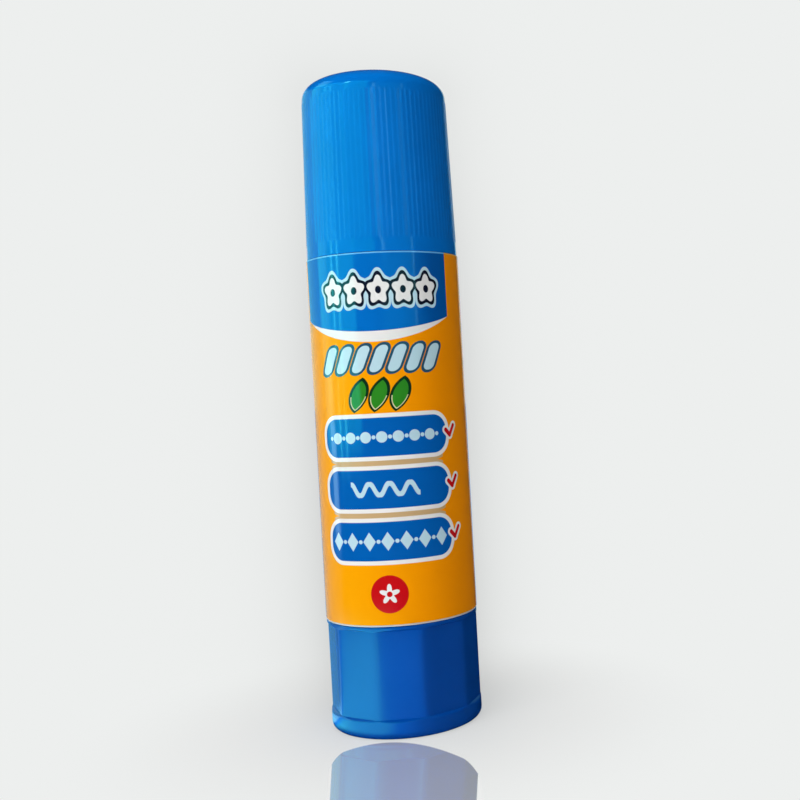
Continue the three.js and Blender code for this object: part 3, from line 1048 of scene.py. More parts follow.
@dataclass
class Cap:
    """The push-on cap: a smooth rim, upright ribs and a low dome, on a wall that has room for the glue."""

    bottom: float = height_of("cap", End.BOTTOM)
    top: float = height_of("cap", End.TOP)
    radius: float = 10.0
    lower: float = 0.03
    sunk: float = 0.18
    draft: float = 1.2
    wall: float = 1.05
    rim: float = 0.06
    bore: float = 8.87
    lead_in: Numbers = (0.3, 0.4)
    ledge_height: float = 8.4
    ledge: float = 0.25
    dome_rise: float = 3.68
    dome_power: float = 2.75
    dome_rows: tuple[int, int] = (12, 26)
    relief: float = 0.004
    ribs: int = 90
    rib_rise: float = 0.026
    rib_sink: float = 0.012
    rib_bottom: float = 1.75
    rib_fade: float = 0.3
    rib_low_rows: Numbers = (0.02, 0.05, 0.1575, 0.265, 0.3725, 0.48)
    rib_high_rows: Numbers = (0.5, 0.3875, 0.275, 0.1625, 0.05)
    rib_middle: tuple[float, int] = (1.5, 4)
    rib_shape: tuple[Numbers, ...] = (
        (0.0, 0.0), (0.06, 0.12), (0.12, 0.36), (0.18, 0.62), (0.24, 0.84), (0.3, 0.96), (0.36, 0.98),
        (0.45, 0.88), (0.57, 0.66), (0.7, 0.42), (0.84, 0.17), (0.94, 0.04),
    )
    satin_rise: float = 0.2

    def dome(self, radius: float, rise: float, steps: int) -> tuple[np.ndarray, np.ndarray]:
        """A dome's outline from its foot to the axis.

        The radius goes with the cosine and the height with the sine of an angle, both raised to two
        over the dome's power.

        Args:
            radius: Radius at the foot.
            rise: Height above the foot.
            steps: Points, less one.

        Returns:
            The radii and the heights.
        """
        angle = np.linspace(0, math.pi / 2, steps + 1)
        share = 2 / self.dome_power
        foot = self.top - self.dome_rise
        return radius * np.abs(np.cos(angle)) ** share, foot + rise * np.sin(angle) ** share

    def build(self) -> bpy.types.Object:
        """Makes the cap's mesh: inner dome, bore, rim, ribs and outer dome in one closed grid.

        Returns:
            The piece.
        """
        foot = self.top - self.dome_rise
        rim = self.bottom + self.lower
        slope = math.tan(math.radians(self.draft))
        dome_radius = self.radius - slope * (foot - rim) - self.relief
        inner_rows, outer_rows = self.dome_rows
        inner_r, inner_z = self.dome(dome_radius - self.wall, self.dome_rise - self.wall, inner_rows)
        outer_r, outer_z = self.dome(dome_radius, self.dome_rise - self.sunk, outer_rows)
        ledge = self.bottom + self.ledge_height
        start = self.bottom + self.rib_bottom
        wider, higher = self.lead_in
        side_r, side_z = profile([
            (dome_radius - self.wall, foot),
            (self.bore - self.ledge, ledge, 0.1),
            (self.bore, ledge, 0.1),
            (self.bore, rim + higher, 0.1),
            (self.bore + wider, rim, 0.08),
            (self.radius, rim, self.rim),
            (self.radius - slope * (start - rim), start),
        ], arc_steps=3)
        margin, middle_rows = self.rib_middle
        rib_z = np.concatenate([
            start + np.array(self.rib_low_rows),
            np.linspace(start + margin, foot - margin, middle_rows),
            foot - np.array(self.rib_high_rows),
        ])
        rib_r = self.radius - slope * (rib_z - rim)
        radius = np.concatenate([inner_r[::-1], side_r[1:], rib_r, outer_r])
        height = np.concatenate([inner_z[::-1], side_z[1:], rib_z, outer_z])
        first = len(inner_r) + len(side_r) - 1
        rows = np.arange(len(radius))
        ribbed = (rows >= first) & (rows < first + len(rib_z))
        fade = np.clip(np.minimum(height - start, foot - height) / self.rib_fade, 0, 1) * ribbed
        pitch = 360 / self.ribs
        steps, lifts = np.array(self.rib_shape).T
        angles = (np.arange(self.ribs)[:, None] + steps[None, :]).ravel() * pitch - 180
        ridge = self.rib_rise * np.tile(lifts, self.ribs) - self.rib_sink
        skin = Skin()
        skin.add(around(radius[:, None] + fade[:, None] * ridge[None, :], height[:, None], angles))
        return skin.piece("cap_shell")

    def dress(self) -> None:
        """Builds the cap and gives it its finish, satin where the ribs are."""
        ribbed = (self.bottom + self.rib_bottom, self.top - self.dome_rise + self.satin_rise)
        finish = MouldedPlastic(
            "cap_plastic", Ink.CAP_BLUE, roughness=0.1, roughness_swing=0.04, specular=0.4, satin=ribbed,
        )
        seat(self.build(), finish.material(), "cap", "cap")


@dataclass
class Knob:
    """The ten-sided knob: a skirt with soft-edged flats, a foot ring, and a hub that holds the screw."""

    bottom: float = height_of("knob", End.BOTTOM)
    hub_top: float = height_of("knob", End.TOP)
    top: float = 14.6
    radius: float = 10.06
    fillet: float = 0.95
    flats: int = 10
    first_edge: float = 14.0
    flat_reach: float = 9.63
    flat_bottom: float = 2.62
    flat_top: float = 13.95
    flat_slope: float = 2.0
    flat_margin: float = 0.5
    slope_inside: float = 0.06
    slope_above: float = 0.26
    softness: float = 0.16
    edge_softness: float = 0.14
    bore: float = 8.65
    floor_top: float = 1.6
    recess: float = 0.4
    ring: float = 1.8
    hub_radius: float = 3.6
    socket_half: float = 1.72
    socket_bottom: float = 3.5
    snap: Numbers = (0.3, 8.1, 0.75)
    webs: int = 6
    web_thickness: float = 0.8
    web_height: float = 3.6
    web_root: Numbers = (0.3, 0.4)
    web_power: float = 0.2
    web_points: int = 32
    steps_per_flat: int = 36
    crowding: float = 0.65

    def flattened(self, radius: np.ndarray, height: np.ndarray, angles: np.ndarray) -> np.ndarray:
        """Cuts the flats in.

        A flat lies at its reach over the cosine of the angle from its middle, and its cutter slopes out
        past its two ends. Of the two nearest flats, and then of them and the round radius, the smaller
        is taken with a soft corner.

        Args:
            radius: Round radii of the rows.
            height: Heights of the rows.
            angles: Angles of the columns.

        Returns:
            Radii in rows and columns.
        """
        pitch = 360 / self.flats
        off = np.abs((angles - self.first_edge) % pitch - pitch / 2)
        past = np.maximum(self.flat_bottom - height, 0) + np.maximum(height - self.flat_top, 0)
        here, next_one = 1 / np.cos(np.radians(off)), 1 / np.cos(np.radians(pitch - off))
        reach = self.flat_reach + past[:, None] * self.flat_slope
        flat = softly_smaller(reach * here[None, :], reach * next_one[None, :], self.edge_softness)
        return softly_smaller(flat, radius[:, None], self.softness)

    def angles(self) -> np.ndarray:
        """Angles that crowd at the edges between the flats: a share of a sine joins an even step.

        Returns:
            The angles in order, in degrees.
        """
        pitch = 360 / self.flats
        even = np.linspace(-1, 1, self.steps_per_flat, endpoint=False)
        crowded = self.crowding * np.sin(even * math.pi / 2) + (1 - self.crowding) * even
        middles = self.first_edge + pitch * (np.arange(self.flats) + 0.5)
        return np.sort((middles[:, None] + crowded[None, :] * pitch / 2 + 180).ravel() % 360 - 180)

    def build(self) -> bpy.types.Object:
        """Makes the knob's mesh: one turned skin with flats and a square socket, and the webs inside.

        Returns:
            The piece.
        """
        ring_in = self.radius - self.fillet - self.ring
        depth, snap_height, snap_half = self.snap
        radius, height = profile([
            (0, self.recess),
            (ring_in - self.recess, self.recess, 0.15),
            (ring_in, self.bottom, 0.12),
            (self.radius, self.bottom, self.fillet),
            (self.radius, self.flat_bottom - self.flat_margin),
            (self.radius, self.flat_bottom + self.slope_inside, 0.0, 0.025),
            (self.radius, self.flat_bottom + self.flat_margin),
            (self.radius, self.flat_top - self.flat_margin, 0.0, 2.0),
            (self.radius, self.flat_top - self.slope_inside),
            (self.radius, self.flat_top + self.slope_above, 0.0, 0.02),
            (self.radius, self.top, 0.22),
            (self.bore, self.top, 0.12),
            (self.bore, snap_height + snap_half, 0.1),
            (self.bore + depth, snap_height, 0.15),
            (self.bore, snap_height - snap_half, 0.1),
            (self.bore, self.floor_top, 0.2),
            (self.hub_radius, self.floor_top, 0.2),
            (self.hub_radius, self.hub_top, 0.12),
            (self.socket_half, self.hub_top, 0.06),
            (self.socket_half, self.socket_bottom, 0.06),
            (0, self.socket_bottom),
        ], arc_steps=6)
        angles = self.angles()
        outer = (radius > (self.bore + self.radius) / 2) & (height > self.bottom + self.flat_margin)
        inner = (radius < (self.socket_half + self.hub_radius) / 2) & (height > self.floor_top)
        whole = np.where(outer[:, None], self.flattened(radius, height, angles), radius[:, None])
        whole = np.where(inner[:, None], radius[:, None] * squaring(angles)[None, :], whole)
        skin = Skin()
        skin.add(around(whole, height[:, None], angles))
        for turn in np.arange(self.webs) * 360 / self.webs:
            skin.add(self.web(turn))
        return skin.piece("knob_shell")

    def web(self, turn: float) -> np.ndarray:
        """A web between hub and skirt: a flat plate on end.

        It is drawn as a rounded square, whose sides go with the cosine and the sine of an angle raised
        to a small power. It grows from its foot's middle, goes up and closes on top.

        Args:
            turn: Its angle round the stick.

        Returns:
            Its grid of points.
        """
        into, under = self.web_root
        inner, outer = self.hub_radius - into, self.bore + into
        low, high = self.floor_top - under, self.floor_top + self.web_height
        spread, height = profile([(0, low), (1, low, 0.02), (1, high, 0.05), (0, high)])
        angle = np.linspace(-math.pi, math.pi, self.web_points, endpoint=False)
        side, along = (
            np.sign(wave) * np.abs(wave) ** self.web_power for wave in (np.cos(angle), np.sin(angle))
        )
        x = spread[:, None] * along[None, :] * (outer - inner) / 2 + (inner + outer) / 2
        y = -spread[:, None] * side[None, :] * self.web_thickness / 2
        turned = math.radians(turn)
        return np.stack([
            x * math.sin(turned) + y * math.cos(turned), -x * math.cos(turned) + y * math.sin(turned),
            np.broadcast_to(height[:, None], x.shape),
        ], axis=-1)

    def dress(self) -> None:
        """Builds the knob and gives it its finish."""
        finish = MouldedPlastic(
            "knob_plastic", Ink.KNOB_BLUE, roughness=0.18, roughness_swing=0.04, specular=0.4,
        )
        seat(self.build(), finish.material(), "knob", "knob")


@dataclass
class Label:
    """The printed film round the barrel."""

    bottom: float = height_of("label_sleeve", End.BOTTOM)
    top: float = height_of("label_sleeve", End.TOP)
    radius: float = 10.12
    film: float = 0.25
    bottom_margin: float = 0.1
    top_margin: float = -0.31
    points_round: int = 240

    def build(self) -> bpy.types.Object:
        """Makes a thin tube whose map runs once round and up its height.

        Returns:
            The piece.
        """
        inner = self.radius - self.film
        low, high = self.bottom + self.bottom_margin, self.top - self.top_margin
        radius, height = profile([
            (inner, low), (self.radius, low, 0.03), (self.radius, high, 0.03, 4.0), (inner, high),
        ], loop=True)
        angles = columns(self.points_round)
        film = np.append(angles, 180) / 360 + 0.5, height / PRINT_SCALE
        skin = Skin()
        skin.add(around(radius[:, None], height[:, None], angles), True, film)
        return skin.piece("label_film")

    def dress(self) -> None:
        """Builds the label and gives it its print."""
        seat(self.build(), LabelPrint(self.radius).material(), "barrel", "label_sleeve")


@dataclass
class Barrel:
    """The white tube: a body under the label, a neck for the cap, a spigot for the knob, and grooves."""

    bottom: float = height_of("barrel", End.BOTTOM)
    mouth: float = height_of("barrel", End.TOP)
    radius: float = 9.86
    lip: float = 10.05
    lip_height: float = 0.22
    body_bottom: float = 14.64
    body_top: float = 62.3
    bore: float = 7.8
    neck: float = 8.6
    neck_bead: Numbers = (0.15, 65.0, 0.6)
    spigot: float = 8.4
    spigot_inner: float = 7.4
    spigot_bead: Numbers = (0.3, 8.1, 0.6)
    floor_bottom: float = 16.0
    floor_top: float = 17.2
    floor_hole: float = 2.7
    grooves: int = 4
    groove_half: float = 0.8
    groove_depth: float = 0.5
    groove_start: float = 0.3
    groove_stop: float = 4.5
    points_round: int = 192

    def build(self) -> bpy.types.Object:
        """Makes the barrel's mesh: one closed profile whose bore is pushed out at the grooves.

        Returns:
            The piece.
        """
        neck_out, neck_at, neck_half = self.neck_bead
        spigot_out, spigot_at, spigot_half = self.spigot_bead
        radius, height = profile([
            (self.spigot_inner, self.bottom, 0.15),
            (self.spigot, self.bottom, 0.3),
            (self.spigot, spigot_at - spigot_half, 0.2),
            (self.spigot + spigot_out, spigot_at, 0.2),
            (self.spigot, spigot_at + spigot_half, 0.2),
            (self.spigot, self.body_bottom, 0.1),
            (self.lip, self.body_bottom, 0.05),
            (self.lip, self.body_bottom + self.lip_height, 0.05),
            (self.radius, self.body_bottom + self.lip_height, 0.03),
            (self.radius, self.body_top, 0.05),
            (self.neck, self.body_top, 0.15),
            (self.neck, neck_at - neck_half, 0.3),
            (self.neck + neck_out, neck_at, 0.3),
            (self.neck, neck_at + neck_half, 0.3),
            (self.neck, self.mouth, 0.3),
            (self.bore, self.mouth, 0.15),
            (self.bore, self.floor_top, 0.1, 0.5),
            (self.floor_hole, self.floor_top, 0.1),
            (self.floor_hole, self.floor_bottom, 0.1),
            (self.spigot_inner, self.floor_bottom, 0.2),
        ], loop=True)
        half = math.degrees(self.groove_half / self.bore)
        angles, grooved = teeth(self.grooves, half, self.points_round)
        start, stop = self.floor_top + self.groove_start, self.mouth - self.groove_stop
        bored = (np.abs(radius - self.bore) < NEAR) & (height > start) & (height < stop)
        depth = bored[:, None] * grooved[None, :] * self.groove_depth
        skin = Skin()
        skin.add(around(radius[:, None] + depth, height[:, None], angles), True)
        return skin.piece("barrel_tube")

    def dress(self) -> None:
        """Builds the barrel and gives it its finish."""
        finish = MouldedPlastic("barrel_plastic", Ink.MOULDED_WHITE, roughness=0.34)
        seat(self.build(), finish.material(), "barrel", "barrel")


@dataclass
class Thread:
    """The left-hand screw thread that the screw and the carrier share."""

    lead: float = 4.0
    core: float = 1.9
    depth: float = 1.0
    root_half: float = 0.85
    crest_half: float = 0.5

    def ridge(self, height: np.ndarray, angles: np.ndarray, room: float = 0.0) -> np.ndarray:
        """How far the ridge stands out, for heights by angles.

        The distance from the ridge's middle is the height plus the lead's share of the angle, wrapped
        to half a lead. The ridge falls from its crest to its root with that distance.

        Args:
            height: Heights of the rows.
            angles: Angles of the columns.
            room: How much wider the ridge is on each side.

        Returns:
            Distances in rows and columns.
        """
        turns = height[:, None] / self.lead + angles[None, :] / 360
        away = np.abs((turns + 0.5) % 1 - 0.5) * self.lead
        fall = (self.root_half + room - away) / (self.root_half - self.crest_half)
        return np.clip(fall, 0, 1) * self.depth


@dataclass
class Screw:
    """The long screw: a square tail for the knob's socket, a journal, a flange and the thread."""

    thread: Thread
    bottom: float = height_of("screw", End.BOTTOM)
    top: float = height_of("screw", End.TOP)
    tail_half: float = 1.6
    tail_top: float = 16.0
    journal: float = 2.4
    flange: float = 4.5
    flange_bottom: float = 17.45
    flange_top: float = 18.65
    tip: float = 1.0
    run_in: Numbers = (0.1, 0.3)
    run_out: Numbers = (1.6, 0.6)
    points_round: int = 96

    def build(self) -> bpy.types.Object:
        """Makes the screw's mesh: a turned profile, squared at the tail and swollen along the thread.

        Returns:
            The piece.
        """
        core = self.thread.core
        radius, height = profile([
            (0, self.bottom),
            (self.tail_half, self.bottom, 0.15),
            (self.tail_half, self.tail_top, 0.03),
            (self.journal, self.tail_top, 0.08),
            (self.journal, self.flange_bottom, 0.08),
            (self.flange, self.flange_bottom, 0.15),
            (self.flange, self.flange_top, 0.15),
            (core, self.flange_top, 0.1),
            (core, self.top - self.tip, 0.1, 0.16),
            (core - self.tip, self.top, 0.2),
            (0, self.top),
        ])
        angles = columns(self.points_round)
        tail = (height < self.tail_top - NEAR) & (radius < self.tail_half + NEAR)
        whole = np.where(tail[:, None], radius[:, None] * squaring(angles)[None, :], radius[:, None])
        (after, growth), (before, decline) = self.run_in, self.run_out
        grown = np.clip((height - self.flange_top - after) / growth, 0, 1)
        fade = grown * np.clip((self.top - before - height) / decline, 0, 1)
        shaft = (np.abs(radius - core) < NEAR) & (height > self.flange_top)
        whole = whole + self.thread.ridge(height, angles) * (fade * shaft)[:, None]
        skin = Skin()
        skin.add(around(whole, height[:, None], angles))
        return skin.piece("screw_shaft")

    def dress(self) -> None:
        """Builds the screw and gives it its finish."""
        finish = MouldedPlastic("screw_plastic", Ink.MOULDED_WHITE, Colouring.CLOUDED, roughness=0.45)
        seat(self.build(), finish.material(), "knob", "screw")


@dataclass
class Carrier:
    """The cup that holds the glue and climbs the screw, kept from turning by four tabs."""

    thread: Thread
    bottom: float = height_of("carrier", End.BOTTOM)
    top: float = height_of("carrier", End.TOP)
    radius: float = 7.55
    cup: float = 6.85
    floor: float = 1.2
    boss: float = 4.4
    fit: float = 0.2
    bore_margin: float = 0.1
    bore_rows: int = 44
    tabs: int = 4
    tab_half: float = 0.55
    tab_reach: float = 8.05
    points_round: int = 144

    def build(self) -> bpy.types.Object:
        """Makes the carrier's mesh: a closed profile with tabs outside and the thread in its bore.

        Returns:
            The piece.
        """
        bore = self.thread.core + self.fit
        radius, height = profile([
            (bore, self.bottom, 0.05),
            (self.radius, self.bottom, 0.12),
            (self.radius, self.top, 0.1),
            (self.cup, self.top, 0.1),
            (self.cup, self.bottom + self.floor, 0.3),
            (self.boss, self.bottom + self.floor, 0.2),
            (self.boss, self.top, 0.1),
            (bore, self.top, 0.05),
        ], loop=True)
        bore_z = np.linspace(self.top - self.bore_margin, self.bottom + self.bore_margin, self.bore_rows)
        radius, height = np.append(radius, np.full(self.bore_rows, bore)), np.append(height, bore_z)
        angles, tabbed = teeth(self.tabs, math.degrees(self.tab_half / self.radius), self.points_round)
        outside = radius > (self.cup + self.radius) / 2
        push = outside[:, None] * tabbed[None, :] * (self.tab_reach - self.radius)
        inside = radius < (bore + self.boss) / 2
        groove = self.thread.ridge(height, angles, self.fit) * inside[:, None]
        skin = Skin()
        skin.add(around(radius[:, None] + push + groove, height[:, None], angles), True)
        return skin.piece("carrier_cup")

    def dress(self) -> None:
        """Builds the carrier and gives it its finish."""
        finish = MouldedPlastic("carrier_plastic", Ink.MOULDED_WHITE, Colouring.CLOUDED, roughness=0.45)
        seat(self.build(), finish.material(), "carrier", "carrier")


@dataclass
class Glue:
    """The stick of glue: a plug in the carrier, a bore for the screw and a softly rounded end."""

    bottom: float = height_of("glue", End.BOTTOM)
    top: float = height_of("glue", End.TOP)
    radius: float = 7.25
    plug: float = 6.6
    collar: float = 26.15
    socket: float = 4.65
    bore: float = 3.2
    bore_top: float = 65.15
    end_fillet: float = 1.1
    points_round: int = 128

    def build(self) -> bpy.types.Object:
        """Makes the glue's mesh: a closed profile from the bore's end to the middle of the top.

        Returns:
            The piece.
        """
        radius, height = profile([
            (0, self.bore_top),
            (self.bore, self.bore_top, 0.2),
            (self.bore, self.collar, 0.1),
            (self.socket, self.collar, 0.1),
            (self.socket, self.bottom, 0.1),
            (self.plug, self.bottom, 0.2),
            (self.plug, self.collar, 0.1),
            (self.radius, self.collar, 0.1),
            (self.radius, self.top, self.end_fillet, 2.0),
            (self.radius / 2, self.top),
            (0, self.top),
        ], arc_steps=7)
        skin = Skin()
        skin.add(around(radius[:, None], height[:, None], columns(self.points_round)))
        return skin.piece("glue_body")

    def dress(self) -> None:
        """Builds the glue and gives it its finish."""
        seat(self.build(), GlueWax().material(), "carrier", "glue")


class Role(Enum):
    """What a lamp does: it shades the surfaces, shines back from the stick, or is a card that only the
    glossy floor shows.
    """

    SHADE = "shade"
    SHINE = "shine"
    CARD = "card"


@dataclass(frozen=True)
class Lamp:
    """A rectangular soft light that faces the middle of the stick, given by the angles that it fills."""

    name: str
    role: Role
    azimuth: float
    elevation: float
    half_width: float
    half_height: float
    distance: float
    strength: float
    tint: tuple[float, float, float] = (1.0, 1.0, 1.0)

    def hang(self, middle: Vector, floor: bpy.types.Collection) -> None:
        """Adds the light.

        A shading lamp's strength is how bright it makes a white surface that faces it, and its power is
        the strength by pi squared by the distance squared. A shining lamp's strength is its own
        brightness, and its power is that by pi by its area.

        Args:
            middle: The place that the light faces.
            floor: The floor, as the light's list of what it reaches or leaves out.
        """
        light = bpy.data.lights.new(self.name, "AREA")
        light.shape = "RECTANGLE"
        light.size = 2 * self.distance * math.tan(math.radians(self.half_width))
        light.size_y = 2 * self.distance * math.tan(math.radians(self.half_height))
        area = light.size * light.size_y
        shade = self.role is Role.SHADE
        light.energy = self.strength * math.pi * (math.pi * self.distance ** 2 if shade else area)
        light.color = self.tint
        lamp = bpy.data.objects.new(self.name, light)
        turn, lift = math.radians(self.azimuth), math.radians(self.elevation)
        way = Vector((math.sin(turn) * math.cos(lift), -math.cos(turn) * math.cos(lift), math.sin(lift)))
        lamp.location = middle + way * self.distance
        lamp.rotation_euler = way.to_track_quat("Z", "Y").to_euler()
        lamp.visible_camera = False
        lamp.visible_glossy = not shade
        lamp.visible_diffuse = shade
        light.cycles.use_multiple_importance_sampling = not shade
        if not shade:
            lamp.light_linking.receiver_collection = floor
        bpy.context.scene.collection.objects.link(lamp)


def behind(way: Wire) -> Wire:
    """Tells which directions lie behind the stick.

    They are those whose depth is more than 0 and more than twice the way to the right, with soft edges.

    Args:
        way: A direction from the stick.

    Returns:
        1 behind the stick and 0 elsewhere.
    """
    side, depth, _ = way.sheet.parts(way)
    return depth.share(0.0, 0.1) * (depth * 0.5 - side).share(0.0, 0.04)


@dataclass
class Portrait:
    """The camera of the portrait: in front of the stick, level with its middle, turned to its right."""

    place: Numbers = (0.0, -153.433, 44.552)
    yaw: float = 0.164
    pitch: float = -0.0165
    roll: float = -0.053
    focal_pixels: float = 1114.72
    middle_pixel: float = 575.29
    sensor: float = 36.0

    def build(self) -> None:
        """Adds the camera. Its right and up turn about the way it looks by the roll."""
        cy, sy, cp, sp = math.cos(self.yaw), math.sin(self.yaw), math.cos(self.pitch), math.sin(self.pitch)
        ahead = Vector((cp * sy, cp * cy, sp))
        level, upright = Vector((cy, -sy, 0)), Vector((-sp * sy, -sp * cy, cp))
        right = level * math.cos(self.roll) + upright * math.sin(self.roll)
        up = upright * math.cos(self.roll) - level * math.sin(self.roll)
        lens = bpy.data.cameras.new("portrait")
        lens.sensor_fit, lens.sensor_width = "HORIZONTAL", self.sensor
        lens.lens = self.focal_pixels / PICTURE_PIXELS * self.sensor
        lens.shift_x = (PICTURE_PIXELS / 2 - self.middle_pixel) / PICTURE_PIXELS
        lens.clip_start, lens.clip_end = 0.01, 50.0
        camera = bpy.data.objects.new("portrait", lens)
        turn = Matrix((right, up, -ahead)).transposed()
        camera.matrix_world = Matrix.Translation(Vector(self.place) * MM) @ turn.to_4x4()
        bpy.context.scene.collection.objects.link(camera)
        bpy.context.scene.camera = camera
        LOG.info("camera: %.1f mm lens", lens.lens)


@dataclass
class Studio:
    """A pale glossy floor and surround with a painted soft shadow behind the stick, and soft lights,
    brighter from the left.
    """

    middle: Numbers = (0.0, 0.0, 44.0)
    floor_rings: Numbers = (0.0, 100.0, 500.0, 3000.0)
    floor_points: int = 96
    paper: Colour = (*PAPER, 1.0)
    sky: Colour = (0.25, 0.9, 0.95, 1.0)
    sky_top: Numbers = (0.38, 0.46)
    sky_gap: float = 2.5
    gap_edge: float = 0.1
    dim: float = 0.04
    fill: float = 0.24
    # Where the painted shadow's rays start, as from a flash in front; no lamp stands there.
    painted_shadow_source: Numbers = (0.0, -153.433, 44.552)
    outline: Numbers = (10.2, 43.5)
    shade_reach: float = 4.2
    shade_depth: float = 0.19
    shade_loss: float = 0.6
    contact: float = 0.3
    contact_range: Numbers = (0.012, 0.045)
    haze: Colour = (0.2, 0.68, 1.0, 1.0)
    haze_strength: float = 0.7
    glow: Colour = (0.08, 0.85, 1.0, 1.0)
    deep_glow: Colour = (0.01, 0.3, 1.0, 1.0)
    glow_azimuth: float = -50.0
    glow_strength: float = 5.0
    glow_width: Numbers = (0.3, 1.0)
    glow_core: Numbers = (0.75, 0.92)
    glow_start: Numbers = (0.0098, 0.0135)
    glow_end: Numbers = (0.075, 0.095)
    ember: float = 0.03
    mirror: float = 0.64
    mirror_roughness: float = 0.03
    mirror_tilt: float = 0.055
    mirror_start: float = 9.7
    mirror_curve: float = 0.095
    mirror_lowest: float = 3.6
    mirror_middle: float = 0.8
    mirror_spread: float = 0.035
    mirror_corner: float = 7.6
    corner_curve: float = 1.2
    mirror_edge: float = 0.6
    mirror_end: Numbers = (34, 42)
    mirror_sides: Numbers = (9.2, 9.6)
    mirror_ior: float = 1.5
    grazing: Numbers = (0.1, 0.145)
    lamps: tuple[Lamp, ...] = (
        Lamp("key", Role.SHADE, -40, 15, 22, 28, 0.7, 0.86),
        Lamp("ceiling", Role.SHADE, -20, 78, 25, 25, 0.9, 0.5),
        Lamp("window", Role.SHINE, -78, 14, 34, 26, 0.6, 2.3, (0.03, 1.0, 0.9)),
        Lamp("curtain", Role.SHINE, -28, 26, 17, 16, 0.6, 2.2, (0.02, 1.0, 0.9)),
        Lamp("frame_left", Role.SHINE, -82, 8, 1.1, 24, 0.55, 6.5, (0.1, 1.0, 1.0)),
        Lamp("frame_right", Role.SHINE, -71.5, 8, 1.1, 24, 0.55, 6.5, (0.1, 1.0, 1.0)),
        Lamp("sill", Role.SHINE, -97, -6, 5, 9, 0.2, 3.0, (0.5, 0.85, 1.0)),
        Lamp("door", Role.SHINE, 21, 16, 25, 14, 0.6, 0.4, (0.05, 1.0, 0.9)),
        Lamp("door_gap", Role.SHINE, 2, 19, 2.2, 8, 0.6, 3.8, (0.3, 1.0, 1.0)),
        Lamp("door_edge", Role.SHINE, 46, 16, 0.6, 14, 0.6, 3.5, (0.3, 1.0, 1.0)),
        Lamp("bulb", Role.SHINE, -44.6, 37.0, 3.4, 2.4, 0.628, 24.0, (0.15, 1.0, 1.0)),
        Lamp("shelf", Role.SHINE, -100, 42, 11, 9, 0.6, 2.4, (0.2, 1.0, 1.0)),
        Lamp("card_left", Role.CARD, -49.5, 0, 40.5, 45, 0.8, 1.0, PAPER),
        Lamp("card_front", Role.CARD, 31.5, 0, 40.5, 45, 0.8, 1.0, PAPER),
        Lamp("card_right", Role.CARD, 112.5, 0, 40.5, 45, 0.8, 1.0, PAPER),
        Lamp("card_warm", Role.CARD, -124, 0, 34, 45, 0.8, 1.0, (0.6, 0.0, 0.0)),
    )

    def shade(self, sheet: Sheet, sight: Wire) -> Wire:
        """How bright the paper is: less in a painted soft shadow behind the stick, as from a flash in
        front.

        A ray from the painted shadow's source in front is followed to the upright plane through the
        stick's axis, and the painted shadow falls there with the exponential of the distance from the
        outline, less towards the top.

        Args:
            sheet: The sheet of nodes.
            sight: From the flash to the place on the paper, of any length.

        Returns:
            The brightness, 1 far away.
        """
        side, depth, lift = sheet.parts(sight)
        _, back, eye = self.painted_shadow_source
        plane = Plane(side / depth * -back, lift / depth * -back + eye)
        half_width, half_height = self.outline
        away = plane.moved(0, half_height).plate(half_width, half_height, half_width / 3)
        fall = away.math("EXPONENT", away.most(0) * (-1 / self.shade_reach))
        ahead = depth.math("GREATER_THAN", depth, 0)
        loss = 1 - self.shade_loss * plane.up.share(half_height, 2 * half_height)
        return 1 - fall * ahead * loss * self.shade_depth

    def glossy_floor(self, sheet: Sheet, way: Wire, reach: Wire) -> Wire:
        """What glossy surfaces show of the floor: a patch that glows on the window's side, haze behind
        the stick, and hardly anything elsewhere.

        The patch goes with the cosine of the angle from its middle, between two distances.

        Args:
            sheet: The sheet of nodes.
            way: The direction of the place from the stick's foot.
            reach: Its distance from there, in metres.

        Returns:
            The shader.
        """
        turn = math.radians(self.glow_azimuth)
        inputs = {0: way, 1: (math.sin(turn), -math.cos(turn), 0.0)}
        facing = sheet.vector("DOT_PRODUCT", inputs, "Value")
        ring = reach.share(*self.glow_start) * (1 - reach.share(*self.glow_end))
        patch = facing.share(*self.glow_width) * ring
        glow = sheet.mix(facing.share(*self.glow_core), self.deep_glow, self.glow)
        back = behind(way)
        strength = patch * self.glow_strength + back * self.haze_strength + self.ember
        return sheet.emission(sheet.mix(back, glow, self.haze), strength)

    def mirroring(self, sheet: Sheet) -> Wire:
        """Tells which part of the floor mirrors the stick.

        It starts at a curve that goes with the square of the way to the side, and at a steeper one past
        its corners. It ends far ahead, and at two sides that draw in with the way ahead.

        Args:
            sheet: The sheet of nodes.

        Returns:
            1 on that part and 0 elsewhere.
        """
        side, back, _ = sheet.parts(sheet.millimetres())
        ahead = 0 - back
        off = side + self.mirror_lowest
        start = off * off * self.mirror_curve + self.mirror_start
        sides = abs(side + self.mirror_middle) + ahead * self.mirror_spread
        corner = (sides - self.mirror_corner).most(0)
        begun = (ahead - start - corner * corner * self.corner_curve).share(0, self.mirror_edge)
        return begun * (1 - ahead.share(*self.mirror_end)) * (1 - sides.share(*self.mirror_sides))

    def floor_material(self) -> bpy.types.Material:
        """Makes the pale floor, with a soft shadow, real near the foot and painted behind the stick, and a
        mirror image of the stick near it.

        Returns:
            The material. The mirror tilts a little to the right, and shows only at a low angle.
        """
        material = bpy.data.materials.new("studio_floor")
        sheet = Sheet(material)
        place = sheet.wire("ShaderNodeTexCoord", output="Object")
        reach = sheet.vector("LENGTH", {0: place}, "Value")
        way = sheet.vector("NORMALIZE", {0: place})
        camera, glossy = sheet.rays()
        matt = sheet.wire("ShaderNodeBsdfDiffuse", None, {"Color": Ink.FLOOR_GREY.linear})
        sight = sheet.vector("ADD", {0: place, 1: tuple(-share * MM for share in self.painted_shadow_source)})
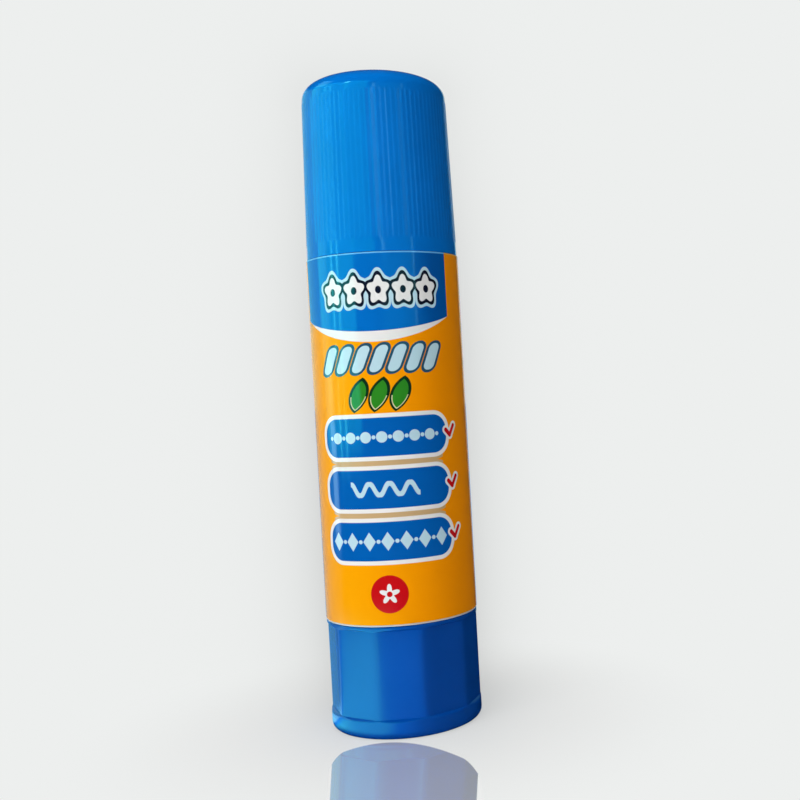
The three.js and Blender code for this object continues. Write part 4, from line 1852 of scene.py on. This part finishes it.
        # The paper seen straight is darker in the painted soft shadow behind the stick.
        pale = sheet.emission(self.paper, self.shade(sheet, sight))
        lit = (1 - self.contact) + self.contact * reach.share(*self.contact_range)
        ground = sheet.blend(camera * lit, matt, pale)
        ground = sheet.blend(glossy, ground, self.glossy_floor(sheet, way, reach))
        tilt = {"X": math.sin(self.mirror_tilt), "Z": math.cos(self.mirror_tilt)}
        mirror = sheet.wire("ShaderNodeBsdfGlossy", None, {
            "Color": (1, 1, 1, 1), "Roughness": self.mirror_roughness,
            "Normal": sheet.wire("ShaderNodeCombineXYZ", None, tilt),
        })
        grazing = sheet.wire("ShaderNodeFresnel", None, {"IOR": self.mirror_ior}).share(*self.grazing)
        sheen = camera * self.mirroring(sheet) * grazing * self.mirror
        sheet.surface(sheet.blend(sheen, ground, mirror))
        return material

    def floor(self) -> bpy.types.Object:
        """Adds the floor, rings of points drawn to their middle.

        Returns:
            The floor.
        """
        reach = np.array(self.floor_rings)
        rows = around(reach[:, None], np.zeros((len(reach), 1)), columns(self.floor_points))
        index = np.arange(rows.shape[0] * rows.shape[1]).reshape(rows.shape[:2])
        low, high = index[:-1], index[1:]
        faces = np.stack([low, high, np.roll(high, -1, 1), np.roll(low, -1, 1)], axis=-1).reshape(-1, 4)
        mesh = bpy.data.meshes.new("studio_floor")
        mesh.from_pydata((rows.reshape(-1, 3) * MM).tolist(), [], faces.tolist())
        floor = bpy.data.objects.new("studio_floor", mesh)
        bpy.context.scene.collection.objects.link(floor)
        mesh.materials.append(self.floor_material())
        return floor

    def surround(self) -> None:
        """Lights the world: paper to the eye, darker in a painted soft shadow round the stick; to glossy
        surfaces pale behind the stick, with a tint except straight behind it, and dim elsewhere; and an
        even dim light for shading.
        """
        world = bpy.data.worlds.new("studio")
        bpy.context.scene.world = world
        sheet = Sheet(world)
        way = sheet.wire("ShaderNodeTexCoord", output="Generated")
        side, depth, lift = sheet.parts(way)
        camera, glossy = sheet.rays()
        pale = behind(way) * (1 - lift.share(*self.sky_top))
        straight = (depth - abs(side) * self.sky_gap).share(0.0, self.gap_edge)
        level = glossy * (self.dim + (1 - self.dim) * pale) + (1 - glossy) * self.fill
        # Seen straight, the surround is darker in the painted soft shadow round the stick.
        strength = camera * self.shade(sheet, way) + (1 - camera) * level
        colour = sheet.mix(glossy * (1 - straight), self.paper, self.sky)
        light = sheet.wire("ShaderNodeBackground", None, {"Color": colour, "Strength": strength})
        sheet.node("ShaderNodeOutputWorld", None, {"Surface": light})

    def build(self) -> None:
        """Adds the floor, the world and the lights. Cards reach only the floor, and the lamps that shine
        back from the stick leave it out.
        """
        floor = self.floor()
        reached = {role: bpy.data.collections.new(f"floor_for_{role.value}") for role in Role}
        for role, collection in reached.items():
            collection.objects.link(floor)
            if role is Role.SHINE:
                collection.collection_objects[0].light_linking.link_state = "EXCLUDE"
        self.surround()
        for lamp in self.lamps:
            lamp.hang(Vector(self.middle) * MM, reached[lamp.role])
        LOG.info("studio: floor, surround and %d lamps", len(self.lamps))


def main() -> None:
    """Builds the camera, the pieces and the studio."""
    logging.basicConfig(level=logging.INFO, format="%(message)s")
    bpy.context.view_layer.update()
    bpy.context.scene.view_settings.view_transform = "Standard"
    Portrait().build()
    thread = Thread()
    for part in (Cap(), Knob(), Label(), Barrel(), Screw(thread), Carrier(thread), Glue()):
        part.dress()
    Studio().build()
    bpy.context.view_layer.update()


if __name__ == "__main__":
    main()
